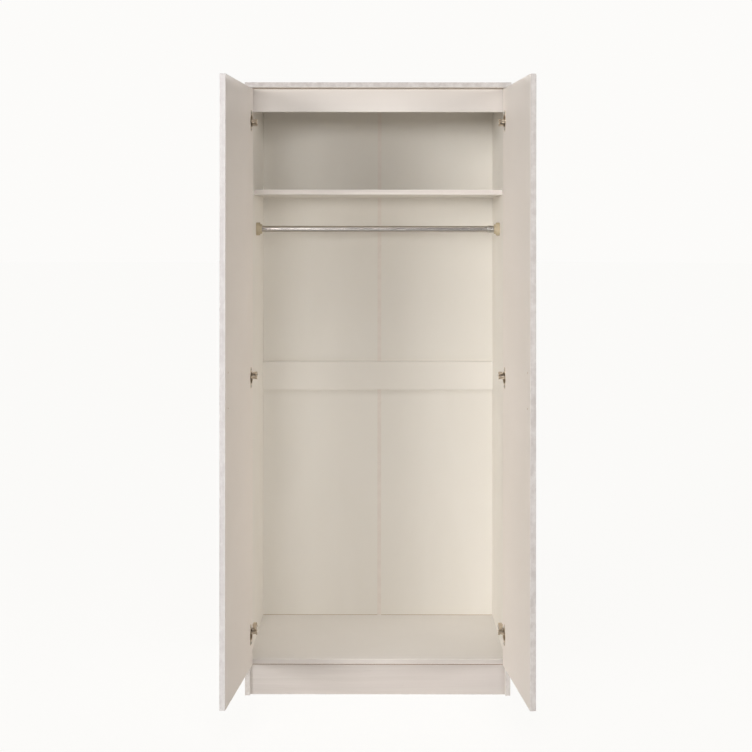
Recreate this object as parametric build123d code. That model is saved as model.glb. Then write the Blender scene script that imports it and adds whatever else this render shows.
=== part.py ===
from build123d import *
import math
import os

os.makedirs("parts", exist_ok=True)

# ---------------------------------------------------------------- overall sizes (mm)
WIDTH = 780.0               # across the side panels
HEIGHT = 1800.0             # floor to the top of the top panel
TOP_DEPTH = 500.0           # top panel, front to back
BOARD = 15.0                # carcass board thickness
DOOR_BOARD = 16.0           # door board thickness
BACK_BOARD = 3.0            # back board thickness

# ---------------------------------------------------------------- layout
DOOR_GAP = 3.0              # closed door to carcass, and between the two doors
DOOR_SIDE_REVEAL = 1.0      # closed door's hinge edge, in from the side's outer face
DOOR_TOP_GAP = 3.0          # door top to the top panel's underside
TOP_NOSE = 1.0              # top panel's front edge, beyond the closed doors
PLINTH_HEIGHT = 93.0        # floor to the underside of the base panel
PLINTH_RECESS = 10.0        # plinth face, in from the side's front edge
HEADER_HEIGHT = 70.0
BACK_INSET = 17.0           # rear face of the back boards, in from the rear edges
GROOVE_DEPTH = 6.0
GROOVE_CLEARANCE = 0.2      # groove width beyond the back board, each side
SEAM_OFFSET = 5.0           # joining strip's centre, right of the middle
STRIP_WIDTH = 12.6          # joining strip's flanges
STRIP_FLANGE = 0.8
STRIP_WEB = 1.2
SHELF_DROP = 310.0          # shelf's underside, below the top panel's underside
SHELF_SETBACK = 110.0       # shelf's front edge, in from the side's front edge
RAIL_RISE = 741.0           # cross rail's underside, above the base panel
RAIL_HEIGHT = 90.0
FIT = 0.15                  # radial clearance of dowels, bolts, cams and screws

# ---------------------------------------------------------------- hanging rod
ROD_DIAMETER = 19.0
ROD_WALL = 1.0
ROD_DROP = 103.5            # rod's centre, below the shelf's underside
ROD_SETBACK = 200.0         # rod's centre, in from the side's front edge
ROD_END_GAP = 3.5           # rod's end to the side panel
SOCKET_BASE = 11.5          # socket's wide base, out from the side panel
SOCKET_WALL = 2.5           # neck beyond the rod, front and back
SOCKET_SHOULDER = 6.0       # neck beyond the rod, above and below
SOCKET_RIM = 1.0            # base beyond the neck, front and back
SOCKET_EAR = 4.5            # base beyond the neck, above and below
SOCKET_ROUNDING = 2.0
SOCKET_REACH = 17.5         # socket, out from the side panel
SOCKET_FIT = 0.3            # radial clearance of the rod in its socket
SLEEVE_LENGTH = 20.0        # sleeve at the rod's right end, beyond the socket
SLEEVE_WALL = 0.9
SLEEVE_FIT = 0.3

# ---------------------------------------------------------------- doors
DOOR_OPEN_ANGLE = 95.5      # how far each door stands open at rest
HINGE_INSET = 96.0          # outer hinges' centres, in from the door's ends
HANDLE_PITCH = 96.0         # handle screw holes, centre to centre
HANDLE_HOLE = 5.0           # handle screw hole diameter
HANDLE_INSET = 37.0         # handle holes, in from the door's free edge

# ---------------------------------------------------------------- concealed hinges
POLE_FROM_EDGE = 8.5        # turning centre, in from the door's hinge edge
POLE_FROM_FACE = 13.0       # turning centre, in from the door's inner face
CUP_DIAMETER = 35.0
CUP_DEPTH = 12.5
CUP_WALL = 1.0
CUP_FLOOR = 0.5
CUP_EDGE = 5.0              # cup's rim, in from the door's hinge edge
CUP_FIT = 0.1               # radial clearance of the cup in its bore
FLANGE_THICKNESS = 1.0
FLANGE_DIAMETER = 37.5
WING_SPAN = 62.0            # flange, end to end
WING_WIDTH = 14.0
WING_OFFSET = 6.0           # flange screws, off the cup's centre
CUP_SCREW_PITCH = 48.0
INNER_PIVOT = (7.35, 11.48)     # inner link's cup pivot from the turning centre, door closed
INNER_REACH = 26.02             # inner link's arm pivot from the turning centre
OUTER_PIVOT = (1.93, 5.81)      # outer link's cup pivot from the turning centre, door closed
OUTER_REACH = 26.12             # outer link's arm pivot from the turning centre
OUTER_BOW = 4.86                # outer link's bow off its chord
LINK_THICKNESS = 1.4
LINK_EYE = 1.65             # radius of the rolled ends
PIN_RADIUS = 0.9
PIN_RUNNING_FIT = 0.05      # radial clearance of the pins in the arm
INNER_LINK_HALF = 2.0       # inner link's half width
OUTER_PLATE_IN = 2.6        # outer link's side plates, from and to
OUTER_PLATE_OUT = 4.4
CHEEK_IN = 5.2              # arm's side cheeks, from and to
CHEEK_OUT = 6.4
ARM_EYE = 2.4
ARM_PROUD = 16.0            # arm's crown, out from the side panel
ARM_CROWN = 1.4
ARM_CROWN_HALF = 8.2        # crown's half width
ARM_CROWN_START = 22.0      # crown, from and to, behind the turning centre
ARM_REAR = 78.0
PLATE_LINE = 37.0           # plate screws, in from the side's front edge
PLATE_THICKNESS = 2.0
PLATE_SPAN = 44.0
PLATE_WING = 15.0
PLATE_SCREW_PITCH = 32.0
RIB_PROUD = 5.0             # plate's raised rib, out from the side panel
RIB_HALF = 4.4
RIB_FRONT = -13.0           # rib, from and to, along the depth from the plate line
RIB_REAR = 24.0
ARM_SCREWS = (-6.0, 18.0)   # adjusting and fixing screw, from the plate line

# ---------------------------------------------------------------- board joint fittings
CAM_DIAMETER = 15.0
CAM_BEYOND_BOLT = 5.0       # cam's inner end, past the bolt's centre line
CAM_SETBACK = 34.0          # cam's centre, in from the joint
BOLT_DIAMETER = 6.0
BOLT_BORE = 8.0
BOLT_EMBED = 11.0
DOWEL_DIAMETER = 8.0
DOWEL_LENGTH = 30.0
DOWEL_EMBED = 11.0
NAIL_DIAMETER = 1.6
NAIL_LENGTH = 16.0
NAIL_HEAD = 6.0
NAIL_HEAD_THICKNESS = 0.8
NAIL_PITCH = 105.0
SCREW_HEAD = 7.4
SCREW_HEAD_HEIGHT = 1.8
SCREW_SHANK = 3.2
SCREW_LENGTH = 11.0
SCREW_SLOT = 3.6            # across the drive recess
SCREW_SLOT_WIDTH = 0.9
SCREW_SLOT_DEPTH = 0.9

# ---------------------------------------------------------------- worked out from the above
HALF = WIDTH / 2
INNER_HALF = HALF - BOARD
FRONT = -(PLINTH_RECESS + BOARD / 2)          # side panels' front edges
TOP_OVERHANG = DOOR_GAP + DOOR_BOARD + TOP_NOSE
REAR = FRONT + TOP_DEPTH - TOP_OVERHANG       # side panels' rear edges
BACK_REAR = REAR - BACK_INSET
BACK_FACE = BACK_REAR - BACK_BOARD            # what stands against the back boards ends here
TOP_UNDER = HEIGHT - BOARD
BASE_TOP = PLINTH_HEIGHT + BOARD
SHELF_LEVEL = TOP_UNDER - SHELF_DROP
RAIL_LEVEL = BASE_TOP + RAIL_RISE
ROD_LEVEL = SHELF_LEVEL - ROD_DROP
SOCKET_NECK_HEIGHT = ROD_DIAMETER + 2 * SOCKET_SHOULDER
SOCKET_NECK_WIDTH = ROD_DIAMETER + 2 * SOCKET_WALL
SOCKET_HEIGHT = SOCKET_NECK_HEIGHT + 2 * SOCKET_EAR
SOCKET_WIDTH = SOCKET_NECK_WIDTH + 2 * SOCKET_RIM
CAM_DEPTH = BOARD / 2 + CAM_BEYOND_BOLT
DOOR_BOTTOM = PLINTH_HEIGHT
DOOR_TOP = TOP_UNDER - DOOR_TOP_GAP
DOOR_HEIGHT = DOOR_TOP - DOOR_BOTTOM
DOOR_WIDTH = HALF - DOOR_SIDE_REVEAL - DOOR_GAP / 2
DOOR_MIDDLE = (DOOR_TOP + DOOR_BOTTOM) / 2
POLE_X = HALF - DOOR_SIDE_REVEAL - POLE_FROM_EDGE
POLE_Y = FRONT - DOOR_GAP - POLE_FROM_FACE
SIDE_FROM_POLE = POLE_X - INNER_HALF          # side's inner face, from the turning centre
HINGE_LEVELS = {
    "bottom": DOOR_BOTTOM + HINGE_INSET,
    "middle": DOOR_MIDDLE,
    "top": DOOR_TOP - HINGE_INSET,
}
SIDES = {"left": 1, "right": -1}              # +1: as drawn on the left; -1: mirrored


# ---------------------------------------------------------------- small helpers
def block(x0, x1, y0, y1, z0, z1):
    """Box between two opposite corners."""
    size = (x1 - x0, y1 - y0, z1 - z0)
    centre = ((x0 + x1) / 2, (y0 + y1) / 2, (z0 + z1) / 2)
    return Pos(*centre) * Box(*size)


def rod_between(start, direction, length, radius):
    """Cylinder from a point, along a direction."""
    plane = Plane(origin=start, z_dir=direction)
    return plane * Cylinder(radius, length, align=(Align.CENTER, Align.CENTER, Align.MIN))


def moved(point, direction, distance):
    """Point carried along a direction."""
    return tuple(p + d * distance for p, d in zip(point, direction))


def mirrored(shape, sign):
    """The shape itself on the left, its mirror image on the right."""
    return shape if sign > 0 else shape.mirror(Plane.YZ)


def together(shapes):
    """Separate solids kept side by side in one node."""
    solids = [solid for shape in shapes for solid in shape.solids()]
    return Compound(children=solids)


def cut_all(shape, tools):
    """The shape with every tool cut out of it."""
    for tool in tools:
        shape = shape - tool
    return shape


def save(node, shape):
    """Write one node's STEP file."""
    shape.label = node
    export_step(shape, "parts/" + node + ".step")


def screw(seat, inward, length=SCREW_LENGTH):
    """Pan-head screw: head standing on the seat, shank going inward."""
    out = tuple(-d for d in inward)
    head = rod_between(seat, out, SCREW_HEAD_HEIGHT, SCREW_HEAD / 2)
    rims = head.edges().filter_by(GeomType.CIRCLE)
    far = max(rims, key=lambda e: e.center().dot(Vector(*out)))
    head = fillet(far, SCREW_HEAD_HEIGHT * 0.45)
    shank = rod_between(seat, inward, length, SCREW_SHANK / 2)
    crown = Plane(origin=moved(seat, out, SCREW_HEAD_HEIGHT), z_dir=out)
    slot = crown * Box(SCREW_SLOT, SCREW_SLOT_WIDTH, SCREW_SLOT_DEPTH * 2)
    cross = crown * Box(SCREW_SLOT_WIDTH, SCREW_SLOT, SCREW_SLOT_DEPTH * 2)
    return head + shank - slot - cross


def screw_hole(seat, inward, depth, outward=0.0):
    """Clearance hole for a screw's shank, from before the seat to past it."""
    start = moved(seat, inward, -outward)
    return rod_between(start, inward, depth + outward, SCREW_SHANK / 2 + FIT)


# ---------------------------------------------------------------- cam joints and dowels
class Joinery:
    """Collects every cam, bolt and dowel, and the bores they need in each board."""

    def __init__(self):
        self.cams = []
        self.bolts = []
        self.dowels = []
        self.cuts = {}

    def cut(self, board, tool):
        """Add a bore to one board."""
        self.cuts.setdefault(board, []).append(tool)

    def cam_joint(self, cam_board, bolt_board, point, inward, cam_face):
        """Bolt screwed into one board and gripped by a cam in the other.

        point lies on the joint, inward runs into the cam's board, and cam_face
        is the direction of the face that the cam is let into.
        """
        outward = tuple(-d for d in inward)
        start = moved(point, outward, BOLT_EMBED)
        self.bolts.append(rod_between(start, inward, BOLT_EMBED + CAM_SETBACK, BOLT_DIAMETER / 2))
        self.cut(bolt_board, rod_between(point, outward, BOLT_EMBED + FIT, BOLT_DIAMETER / 2 + FIT))
        self.cut(cam_board, rod_between(point, inward, CAM_SETBACK, BOLT_BORE / 2))
        seat = moved(moved(point, inward, CAM_SETBACK), cam_face, BOARD / 2)
        into = tuple(-d for d in cam_face)
        drum = rod_between(seat, into, CAM_DEPTH, CAM_DIAMETER / 2)
        drive = Plane(origin=seat, z_dir=cam_face)
        drum = drum - drive * Box(CAM_DIAMETER * 0.5, 1.4, 4.0)
        drum = drum - drive * Box(1.4, CAM_DIAMETER * 0.5, 4.0)
        drum = drum - rod_between(point, inward, CAM_SETBACK + FIT * 2, BOLT_BORE / 2)
        self.cams.append(drum)
        self.cut(cam_board, rod_between(seat, into, CAM_DEPTH + FIT, CAM_DIAMETER / 2 + FIT))

    def dowel(self, deep_board, shallow_board, point, inward):
        """Dowel across a joint, deeper in the board it is driven into first."""
        outward = tuple(-d for d in inward)
        start = moved(point, outward, DOWEL_EMBED)
        self.dowels.append(rod_between(start, inward, DOWEL_LENGTH, DOWEL_DIAMETER / 2))
        bore = DOWEL_DIAMETER / 2 + FIT
        depth = DOWEL_LENGTH - DOWEL_EMBED + 1.0
        self.cut(deep_board, rod_between(point, inward, depth, bore))
        self.cut(shallow_board, rod_between(point, outward, DOWEL_EMBED + FIT, bore))


joinery = Joinery()
SHELF_MIDDLE = SHELF_LEVEL + BOARD / 2
BASE_MIDDLE = PLINTH_HEIGHT + BOARD / 2
HEADER_MIDDLE = TOP_UNDER - HEADER_HEIGHT / 2
RAIL_MIDDLE = RAIL_LEVEL + RAIL_HEIGHT / 2
SHELF_DEPTH = BACK_FACE - FRONT - SHELF_SETBACK
END_MARGIN = 45.0           # cams, in from a board's front and rear edges
for side, sign in SIDES.items():
    panel = "side_panel_" + side
    face_x = -sign * INNER_HALF
    inward = (sign, 0, 0)
    for y in (FRONT + END_MARGIN, BACK_FACE - END_MARGIN):
        joinery.cam_joint("base_panel", panel, (face_x, y, BASE_MIDDLE), inward, (0, 0, -1))
    joinery.dowel("base_panel", panel, (face_x, (FRONT + BACK_FACE) / 2, BASE_MIDDLE), inward)
    for y in (FRONT + SHELF_SETBACK + END_MARGIN, BACK_FACE - END_MARGIN):
        joinery.cam_joint("upper_shelf", panel, (face_x, y, SHELF_MIDDLE), inward, (0, 0, -1))
    uprights = (
        ("header_rail", FRONT + BOARD / 2, HEADER_MIDDLE, HEADER_HEIGHT * 0.23),
        ("back_cross_rail", BACK_FACE - BOARD / 2, RAIL_MIDDLE, RAIL_HEIGHT * 0.25),
        ("plinth", FRONT + PLINTH_RECESS + BOARD / 2, PLINTH_HEIGHT / 2, PLINTH_HEIGHT * 0.25),
    )
    for board, y, level, apart in uprights:
        joinery.cam_joint(board, panel, (face_x, y, level + apart), inward, (0, 1, 0))
        joinery.dowel(board, panel, (face_x, y, level - apart), inward)
    middle_x = -sign * (HALF - BOARD / 2)
    for y in (FRONT + 2 * END_MARGIN, BACK_FACE - END_MARGIN):
        joinery.cam_joint(panel, "top_panel", (middle_x, y, TOP_UNDER), (0, 0, -1), (sign, 0, 0))
    joinery.dowel(panel, "top_panel", (middle_x, (FRONT + REAR) / 2, TOP_UNDER), (0, 0, -1))


# ---------------------------------------------------------------- back boards and their nails
SEAM_X = SEAM_OFFSET
GROOVE_FRONT = BACK_FACE - GROOVE_CLEARANCE
GROOVE_REAR = BACK_REAR + GROOVE_CLEARANCE
BACK_REACH = INNER_HALF + GROOVE_DEPTH - 1.0
BACK_TOP = TOP_UNDER + GROOVE_DEPTH - 1.0
BACK_BOTTOM = PLINTH_HEIGHT
back_grooves = {
    "side_panel_left": block(-INNER_HALF - GROOVE_DEPTH, -INNER_HALF, GROOVE_FRONT, GROOVE_REAR,
                             0, TOP_UNDER),
    "side_panel_right": block(INNER_HALF, INNER_HALF + GROOVE_DEPTH, GROOVE_FRONT, GROOVE_REAR,
                              0, TOP_UNDER),
    "top_panel": block(-INNER_HALF - GROOVE_DEPTH, INNER_HALF + GROOVE_DEPTH,
                       GROOVE_FRONT, GROOVE_REAR, TOP_UNDER, TOP_UNDER + GROOVE_DEPTH),
}
for board, groove in back_grooves.items():
    joinery.cut(board, groove)

nail_spots = []
nail_rows = {
    "base_panel": BASE_MIDDLE,
    "back_cross_rail": RAIL_MIDDLE - RAIL_HEIGHT * 0.3,
    "upper_shelf": SHELF_MIDDLE,
}
for board, level in nail_rows.items():
    half_count = int((INNER_HALF - END_MARGIN) // NAIL_PITCH)
    for step in range(-half_count, half_count + 1):
        x = step * NAIL_PITCH
        if abs(x - SEAM_X) > STRIP_WIDTH:
            nail_spots.append((board, x, level))
nails = []
for board, x, level in nail_spots:
    seat = (x, BACK_REAR, level)
    nail = rod_between(seat, (0, -1, 0), NAIL_LENGTH, NAIL_DIAMETER / 2)
    nails.append(nail + rod_between(seat, (0, 1, 0), NAIL_HEAD_THICKNESS, NAIL_HEAD / 2))
    hole = rod_between(seat, (0, -1, 0), NAIL_LENGTH + FIT, NAIL_DIAMETER / 2 + FIT)
    joinery.cut(board, hole)
    joinery.cut("back_board_left" if x < SEAM_X else "back_board_right", hole)


# ---------------------------------------------------------------- hanging rod and its sockets
ROD_Y = FRONT + ROD_SETBACK
SOCKET_SCREW_OFFSET = SOCKET_HEIGHT / 2 - SCREW_HEAD / 2 - 1.1
rod_half = INNER_HALF - ROD_END_GAP
rod_start = (-rod_half, ROD_Y, ROD_LEVEL)
hanging_rod = rod_between(rod_start, (1, 0, 0), rod_half * 2, ROD_DIAMETER / 2)
hanging_rod -= rod_between(rod_start, (1, 0, 0), rod_half * 2, ROD_DIAMETER / 2 - ROD_WALL)
save("hanging_rod", hanging_rod)

sleeve_start = (INNER_HALF - SOCKET_REACH - 0.5, ROD_Y, ROD_LEVEL)
sleeve_bore = ROD_DIAMETER / 2 + SLEEVE_FIT
rod_sleeve = rod_between(sleeve_start, (-1, 0, 0), SLEEVE_LENGTH, sleeve_bore + SLEEVE_WALL)
rod_sleeve -= rod_between(sleeve_start, (-1, 0, 0), SLEEVE_LENGTH, sleeve_bore)
save("rod_sleeve", rod_sleeve)

socket_screws = []
for side, sign in SIDES.items():
    wall_x = -sign * INNER_HALF
    out = (sign, 0, 0)
    into = (-sign, 0, 0)
    plate = Plane(origin=(wall_x, ROD_Y, ROD_LEVEL), x_dir=(0, 0, 1), z_dir=out)
    socket = extrude(plate * SlotOverall(SOCKET_HEIGHT, SOCKET_WIDTH), SOCKET_BASE)
    base_rim = socket.edges().filter_by(lambda e: abs(e.center().X - wall_x) > SOCKET_BASE - 0.01)
    socket = fillet(base_rim, SOCKET_ROUNDING)
    neck = extrude(plate * SlotOverall(SOCKET_NECK_HEIGHT, SOCKET_NECK_WIDTH), SOCKET_REACH)
    neck_rim = neck.edges().filter_by(lambda e: abs(e.center().X - wall_x) > SOCKET_REACH - 0.01)
    socket += fillet(neck_rim, SOCKET_ROUNDING)
    bore_start = (wall_x + sign * (ROD_END_GAP - 0.4), ROD_Y, ROD_LEVEL)
    socket -= rod_between(bore_start, out, SOCKET_REACH + 1.0, ROD_DIAMETER / 2 + SOCKET_FIT)
    seat_height = SOCKET_BASE - SOCKET_ROUNDING - SCREW_HEAD_HEIGHT
    for step in (-1, 1):
        level = ROD_LEVEL + step * SOCKET_SCREW_OFFSET
        seat = (wall_x + sign * seat_height, ROD_Y, level)
        socket -= rod_between(seat, out, SOCKET_REACH, SCREW_HEAD / 2 + 0.3)
        socket -= rod_between(seat, into, SOCKET_REACH, SCREW_SHANK / 2 + FIT)
        socket_screws.append(screw(seat, into, seat_height + SCREW_LENGTH))
        joinery.cut("side_panel_" + side, screw_hole((wall_x, ROD_Y, level), into, SCREW_LENGTH + FIT))
    save("rod_socket_" + side, socket)
save("rod_socket_screws", together(socket_screws))


# ---------------------------------------------------------------- concealed hinges, drawn for the left
def turned(point, degrees):
    """Plan point turned about the turning centre."""
    angle = math.radians(degrees)
    x, y = point
    return (x * math.cos(angle) - y * math.sin(angle), x * math.sin(angle) + y * math.cos(angle))


def arm_pivot(cup_pivot, reach):
    """Arm pivot at equal distance from the cup pivot with the door closed and open."""
    bearing = math.atan2(cup_pivot[1], cup_pivot[0]) - math.radians(DOOR_OPEN_ANGLE / 2)
    return (reach * math.cos(bearing), reach * math.sin(bearing))


INNER_ARM = arm_pivot(INNER_PIVOT, INNER_REACH)
OUTER_ARM = arm_pivot(OUTER_PIVOT, OUTER_REACH)
PLATE_FROM_POLE = FRONT + PLATE_LINE - POLE_Y        # plate screws' line, behind the turning centre
FACE_FROM_POLE = POLE_FROM_FACE                      # closed door's inner face
CUP_X = CUP_EDGE + CUP_DIAMETER / 2 - POLE_FROM_EDGE
SIDE_X = SIDE_FROM_POLE                              # side panel's inner face


def upright(outline, z0, z1):
    """Plan outline drawn about the turning centre, extruded between two levels."""
    return extrude(Pos(0, 0, z0) * outline, z1 - z0)


def eye(centre, radius, z0, z1):
    """Upright cylinder at a plan point."""
    return Pos(centre[0], centre[1], (z0 + z1) / 2) * Cylinder(radius, z1 - z0)


def bar(points, width, z0, z1):
    """Flat bar of even width along a plan polyline, with round bends."""
    shape = None
    for first, last in zip(points, points[1:]):
        dx = last[0] - first[0]
        dy = last[1] - first[1]
        run = math.hypot(dx, dy)
        nx = -dy / run * width / 2
        ny = dx / run * width / 2
        corners = [(first[0] + nx, first[1] + ny), (last[0] + nx, last[1] + ny),
                   (last[0] - nx, last[1] - ny), (first[0] - nx, first[1] - ny)]
        piece = upright(make_face(Polyline(*corners, close=True)), z0, z1)
        piece += eye(last, width / 2, z0, z1)
        shape = piece if shape is None else shape + piece
    return shape


def bowed(start, end, bow, steps=8):
    """Points along a shallow arc between two plan points."""
    dx = end[0] - start[0]
    dy = end[1] - start[1]
    run = math.hypot(dx, dy)
    points = []
    for step in range(steps + 1):
        t = step / steps
        lift = 4 * t * (1 - t) * bow
        points.append((start[0] + dx * t - dy / run * lift, start[1] + dy * t + dx / run * lift))
    return points


def make_inner_link():
    """Inner link with the door open: a flat bar with a rolled end, on its arm pin."""
    end = turned(INNER_PIVOT, -DOOR_OPEN_ANGLE)
    link = bar([INNER_ARM, end], LINK_THICKNESS, -INNER_LINK_HALF, INNER_LINK_HALF)
    link += eye(INNER_ARM, LINK_EYE, -INNER_LINK_HALF, INNER_LINK_HALF)
    link += eye(end, LINK_EYE, -INNER_LINK_HALF, INNER_LINK_HALF)
    return link + eye(INNER_ARM, PIN_RADIUS, -CHEEK_OUT - 0.3, CHEEK_OUT + 0.3)


def make_outer_link():
    """Outer link with the door open: two bowed side plates joined by their pins."""
    end = turned(OUTER_PIVOT, -DOOR_OPEN_ANGLE)
    path = bowed(OUTER_ARM, end, OUTER_BOW)
    link = eye(OUTER_ARM, PIN_RADIUS, -CHEEK_OUT - 0.3, CHEEK_OUT + 0.3)
    link += eye(end, PIN_RADIUS, -OUTER_PLATE_OUT, OUTER_PLATE_OUT)
    for z0, z1 in ((-OUTER_PLATE_OUT, -OUTER_PLATE_IN), (OUTER_PLATE_IN, OUTER_PLATE_OUT)):
        link += bar(path, LINK_THICKNESS, z0, z1)
        link += eye(OUTER_ARM, LINK_EYE, z0, z1)
        link += eye(end, LINK_EYE, z0, z1)
    return link


def make_arm():
    """Pressed arm: two cheeks that carry the link pins, and a crown over the plate's rib."""
    crown_x = SIDE_X + ARM_PROUD
    outline = [(OUTER_ARM[0] - ARM_EYE, OUTER_ARM[1]), (INNER_ARM[0] - ARM_EYE, INNER_ARM[1]),
               (INNER_ARM[0], INNER_ARM[1] - ARM_EYE), (INNER_ARM[0] + ARM_EYE, INNER_ARM[1]),
               (OUTER_ARM[0] + ARM_EYE, OUTER_ARM[1]), (crown_x, ARM_CROWN_START),
               (crown_x, ARM_REAR), (SIDE_X + RIB_PROUD, ARM_REAR),
               (SIDE_X + RIB_PROUD, ARM_CROWN_START + 3.0), (SIDE_X + RIB_PROUD + 6.0, ARM_CROWN_START)]
    arm = None
    for z0, z1 in ((-CHEEK_OUT, -CHEEK_IN), (CHEEK_IN, CHEEK_OUT)):
        cheek = upright(make_face(Polyline(*outline, close=True)), z0, z1)
        cheek += eye(INNER_ARM, ARM_EYE, z0, z1)
        cheek += eye(OUTER_ARM, ARM_EYE, z0, z1)
        arm = cheek if arm is None else arm + cheek
    arm += block(crown_x - ARM_CROWN, crown_x, ARM_CROWN_START, ARM_REAR, -ARM_CROWN_HALF, ARM_CROWN_HALF)
    bore = PIN_RADIUS + PIN_RUNNING_FIT
    arm -= eye(INNER_ARM, bore, -CHEEK_OUT - 1, CHEEK_OUT + 1)
    arm -= eye(OUTER_ARM, bore, -CHEEK_OUT - 1, CHEEK_OUT + 1)
    for along in ARM_SCREWS:
        seat = (crown_x, PLATE_FROM_POLE + along, 0)
        arm -= screw_hole(seat, (-1, 0, 0), ARM_PROUD, 1.0)
    return arm


def make_plate():
    """Mounting plate: two screw wings and a raised rib under the arm."""
    line = PLATE_FROM_POLE
    base = Plane(origin=(SIDE_X, line, 0), x_dir=(0, 0, 1), z_dir=(1, 0, 0))
    plate = extrude(base * SlotOverall(PLATE_SPAN, PLATE_WING), PLATE_THICKNESS)
    plate += block(SIDE_X, SIDE_X + PLATE_THICKNESS, line + RIB_FRONT, line + RIB_REAR, -8.0, 8.0)
    plate += block(SIDE_X, SIDE_X + RIB_PROUD, line + RIB_FRONT, line + RIB_REAR, -RIB_HALF, RIB_HALF)
    for along in ARM_SCREWS:
        top = (SIDE_X + RIB_PROUD, line + along, 0)
        plate -= screw_hole(top, (-1, 0, 0), RIB_PROUD, 1.0)
    for step in (-1, 1):
        top = (SIDE_X + PLATE_THICKNESS, line, step * PLATE_SCREW_PITCH / 2)
        plate -= screw_hole(top, (-1, 0, 0), PLATE_THICKNESS, 1.0)
    return plate


def make_plate_screws():
    """Screws through the plate's wings into the side panel."""
    seats = [(SIDE_X + PLATE_THICKNESS, PLATE_FROM_POLE, step * PLATE_SCREW_PITCH / 2) for step in (-1, 1)]
    return [screw(seat, (-1, 0, 0)) for seat in seats]


def make_arm_screws():
    """Adjusting and fixing screw through the arm's crown into the plate's rib."""
    seats = [(SIDE_X + ARM_PROUD, PLATE_FROM_POLE + along, 0) for along in ARM_SCREWS]
    return [screw(seat, (-1, 0, 0), ARM_PROUD - 1.5) for seat in seats]


def make_cup():
    """Cup and flange, drawn with the door closed."""
    face = FACE_FROM_POLE
    rim = Plane(origin=(CUP_X, face, 0), x_dir=(0, 0, 1), z_dir=(0, 1, 0))
    shell = rod_between((CUP_X, face - CUP_DEPTH, 0), (0, 1, 0), CUP_DEPTH, CUP_DIAMETER / 2)
    flange = extrude(rim * Circle(FLANGE_DIAMETER / 2), FLANGE_THICKNESS)
    wings = Plane(origin=(CUP_X + WING_OFFSET, face, 0), x_dir=(0, 0, 1), z_dir=(0, 1, 0))
    flange += extrude(wings * SlotOverall(WING_SPAN, WING_WIDTH), FLANGE_THICKNESS)
    cup = shell + flange
    cavity_start = (CUP_X, face - CUP_DEPTH + CUP_FLOOR, 0)
    depth = CUP_DEPTH - CUP_FLOOR + FLANGE_THICKNESS + 1.0
    cup -= rod_between(cavity_start, (0, 1, 0), depth, CUP_DIAMETER / 2 - CUP_WALL)
    for step in (-1, 1):
        seat = (CUP_X + WING_OFFSET, face + FLANGE_THICKNESS, step * CUP_SCREW_PITCH / 2)
        cup -= screw_hole(seat, (0, -1, 0), FLANGE_THICKNESS + 1.0, 1.0)
    return cup


def make_cup_screws():
    """Screws through the cup's flange into the door."""
    level = CUP_SCREW_PITCH / 2
    seats = [(CUP_X + WING_OFFSET, FACE_FROM_POLE + FLANGE_THICKNESS, step * level) for step in (-1, 1)]
    return [screw(seat, (0, -1, 0)) for seat in seats]


def door_cuts():
    """Cup bore and screw holes that one hinge needs in the closed door."""
    face = FACE_FROM_POLE
    bore_start = (CUP_X, face + 1.0, 0)
    cuts = [rod_between(bore_start, (0, -1, 0), CUP_DEPTH + CUP_FIT + 1.0, CUP_DIAMETER / 2 + CUP_FIT)]
    for step in (-1, 1):
        seat = (CUP_X + WING_OFFSET, face, step * CUP_SCREW_PITCH / 2)
        cuts.append(screw_hole(seat, (0, -1, 0), SCREW_LENGTH, 1.0))
    return cuts


def swung_open(shape):
    """Turn a closed-door shape, drawn about the turning centre, to the open position."""
    return shape.rotate(Axis.Z, -DOOR_OPEN_ANGLE)


def placed(shape, sign, level):
    """Carry a left-hand shape from the turning centre to its place on either side."""
    return mirrored(Pos(-POLE_X, POLE_Y, level) * shape, sign)


hinge_arm = make_arm()
hinge_plate = make_plate()
hinge_cup = swung_open(make_cup())
inner_link = make_inner_link()
outer_link = make_outer_link()
plate_screws = make_plate_screws()
arm_screws = make_arm_screws()
cup_screws = [swung_open(item) for item in make_cup_screws()]
for side, sign in SIDES.items():
    panel = "side_panel_" + side
    groups = {"hinge_plate_screws_": [], "hinge_arm_screws_": [], "hinge_cup_screws_": []}
    for place, level in HINGE_LEVELS.items():
        tail = side + "_" + place
        save("hinge_plate_" + tail, placed(hinge_plate, sign, level))
        save("hinge_arm_" + tail, placed(hinge_arm, sign, level))
        save("hinge_inner_link_" + tail, placed(inner_link, sign, level))
        save("hinge_outer_link_" + tail, placed(outer_link, sign, level))
        save("hinge_cup_" + tail, placed(hinge_cup, sign, level))
        groups["hinge_plate_screws_"] += [placed(item, sign, level) for item in plate_screws]
        groups["hinge_arm_screws_"] += [placed(item, sign, level) for item in arm_screws]
        groups["hinge_cup_screws_"] += [placed(item, sign, level) for item in cup_screws]
        for step in (-1, 1):
            seat = (-sign * INNER_HALF, FRONT + PLATE_LINE, level + step * PLATE_SCREW_PITCH / 2)
            joinery.cut(panel, screw_hole(seat, (-sign, 0, 0), SCREW_LENGTH))
    for name, items in groups.items():
        save(name + side, together(items))


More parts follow.
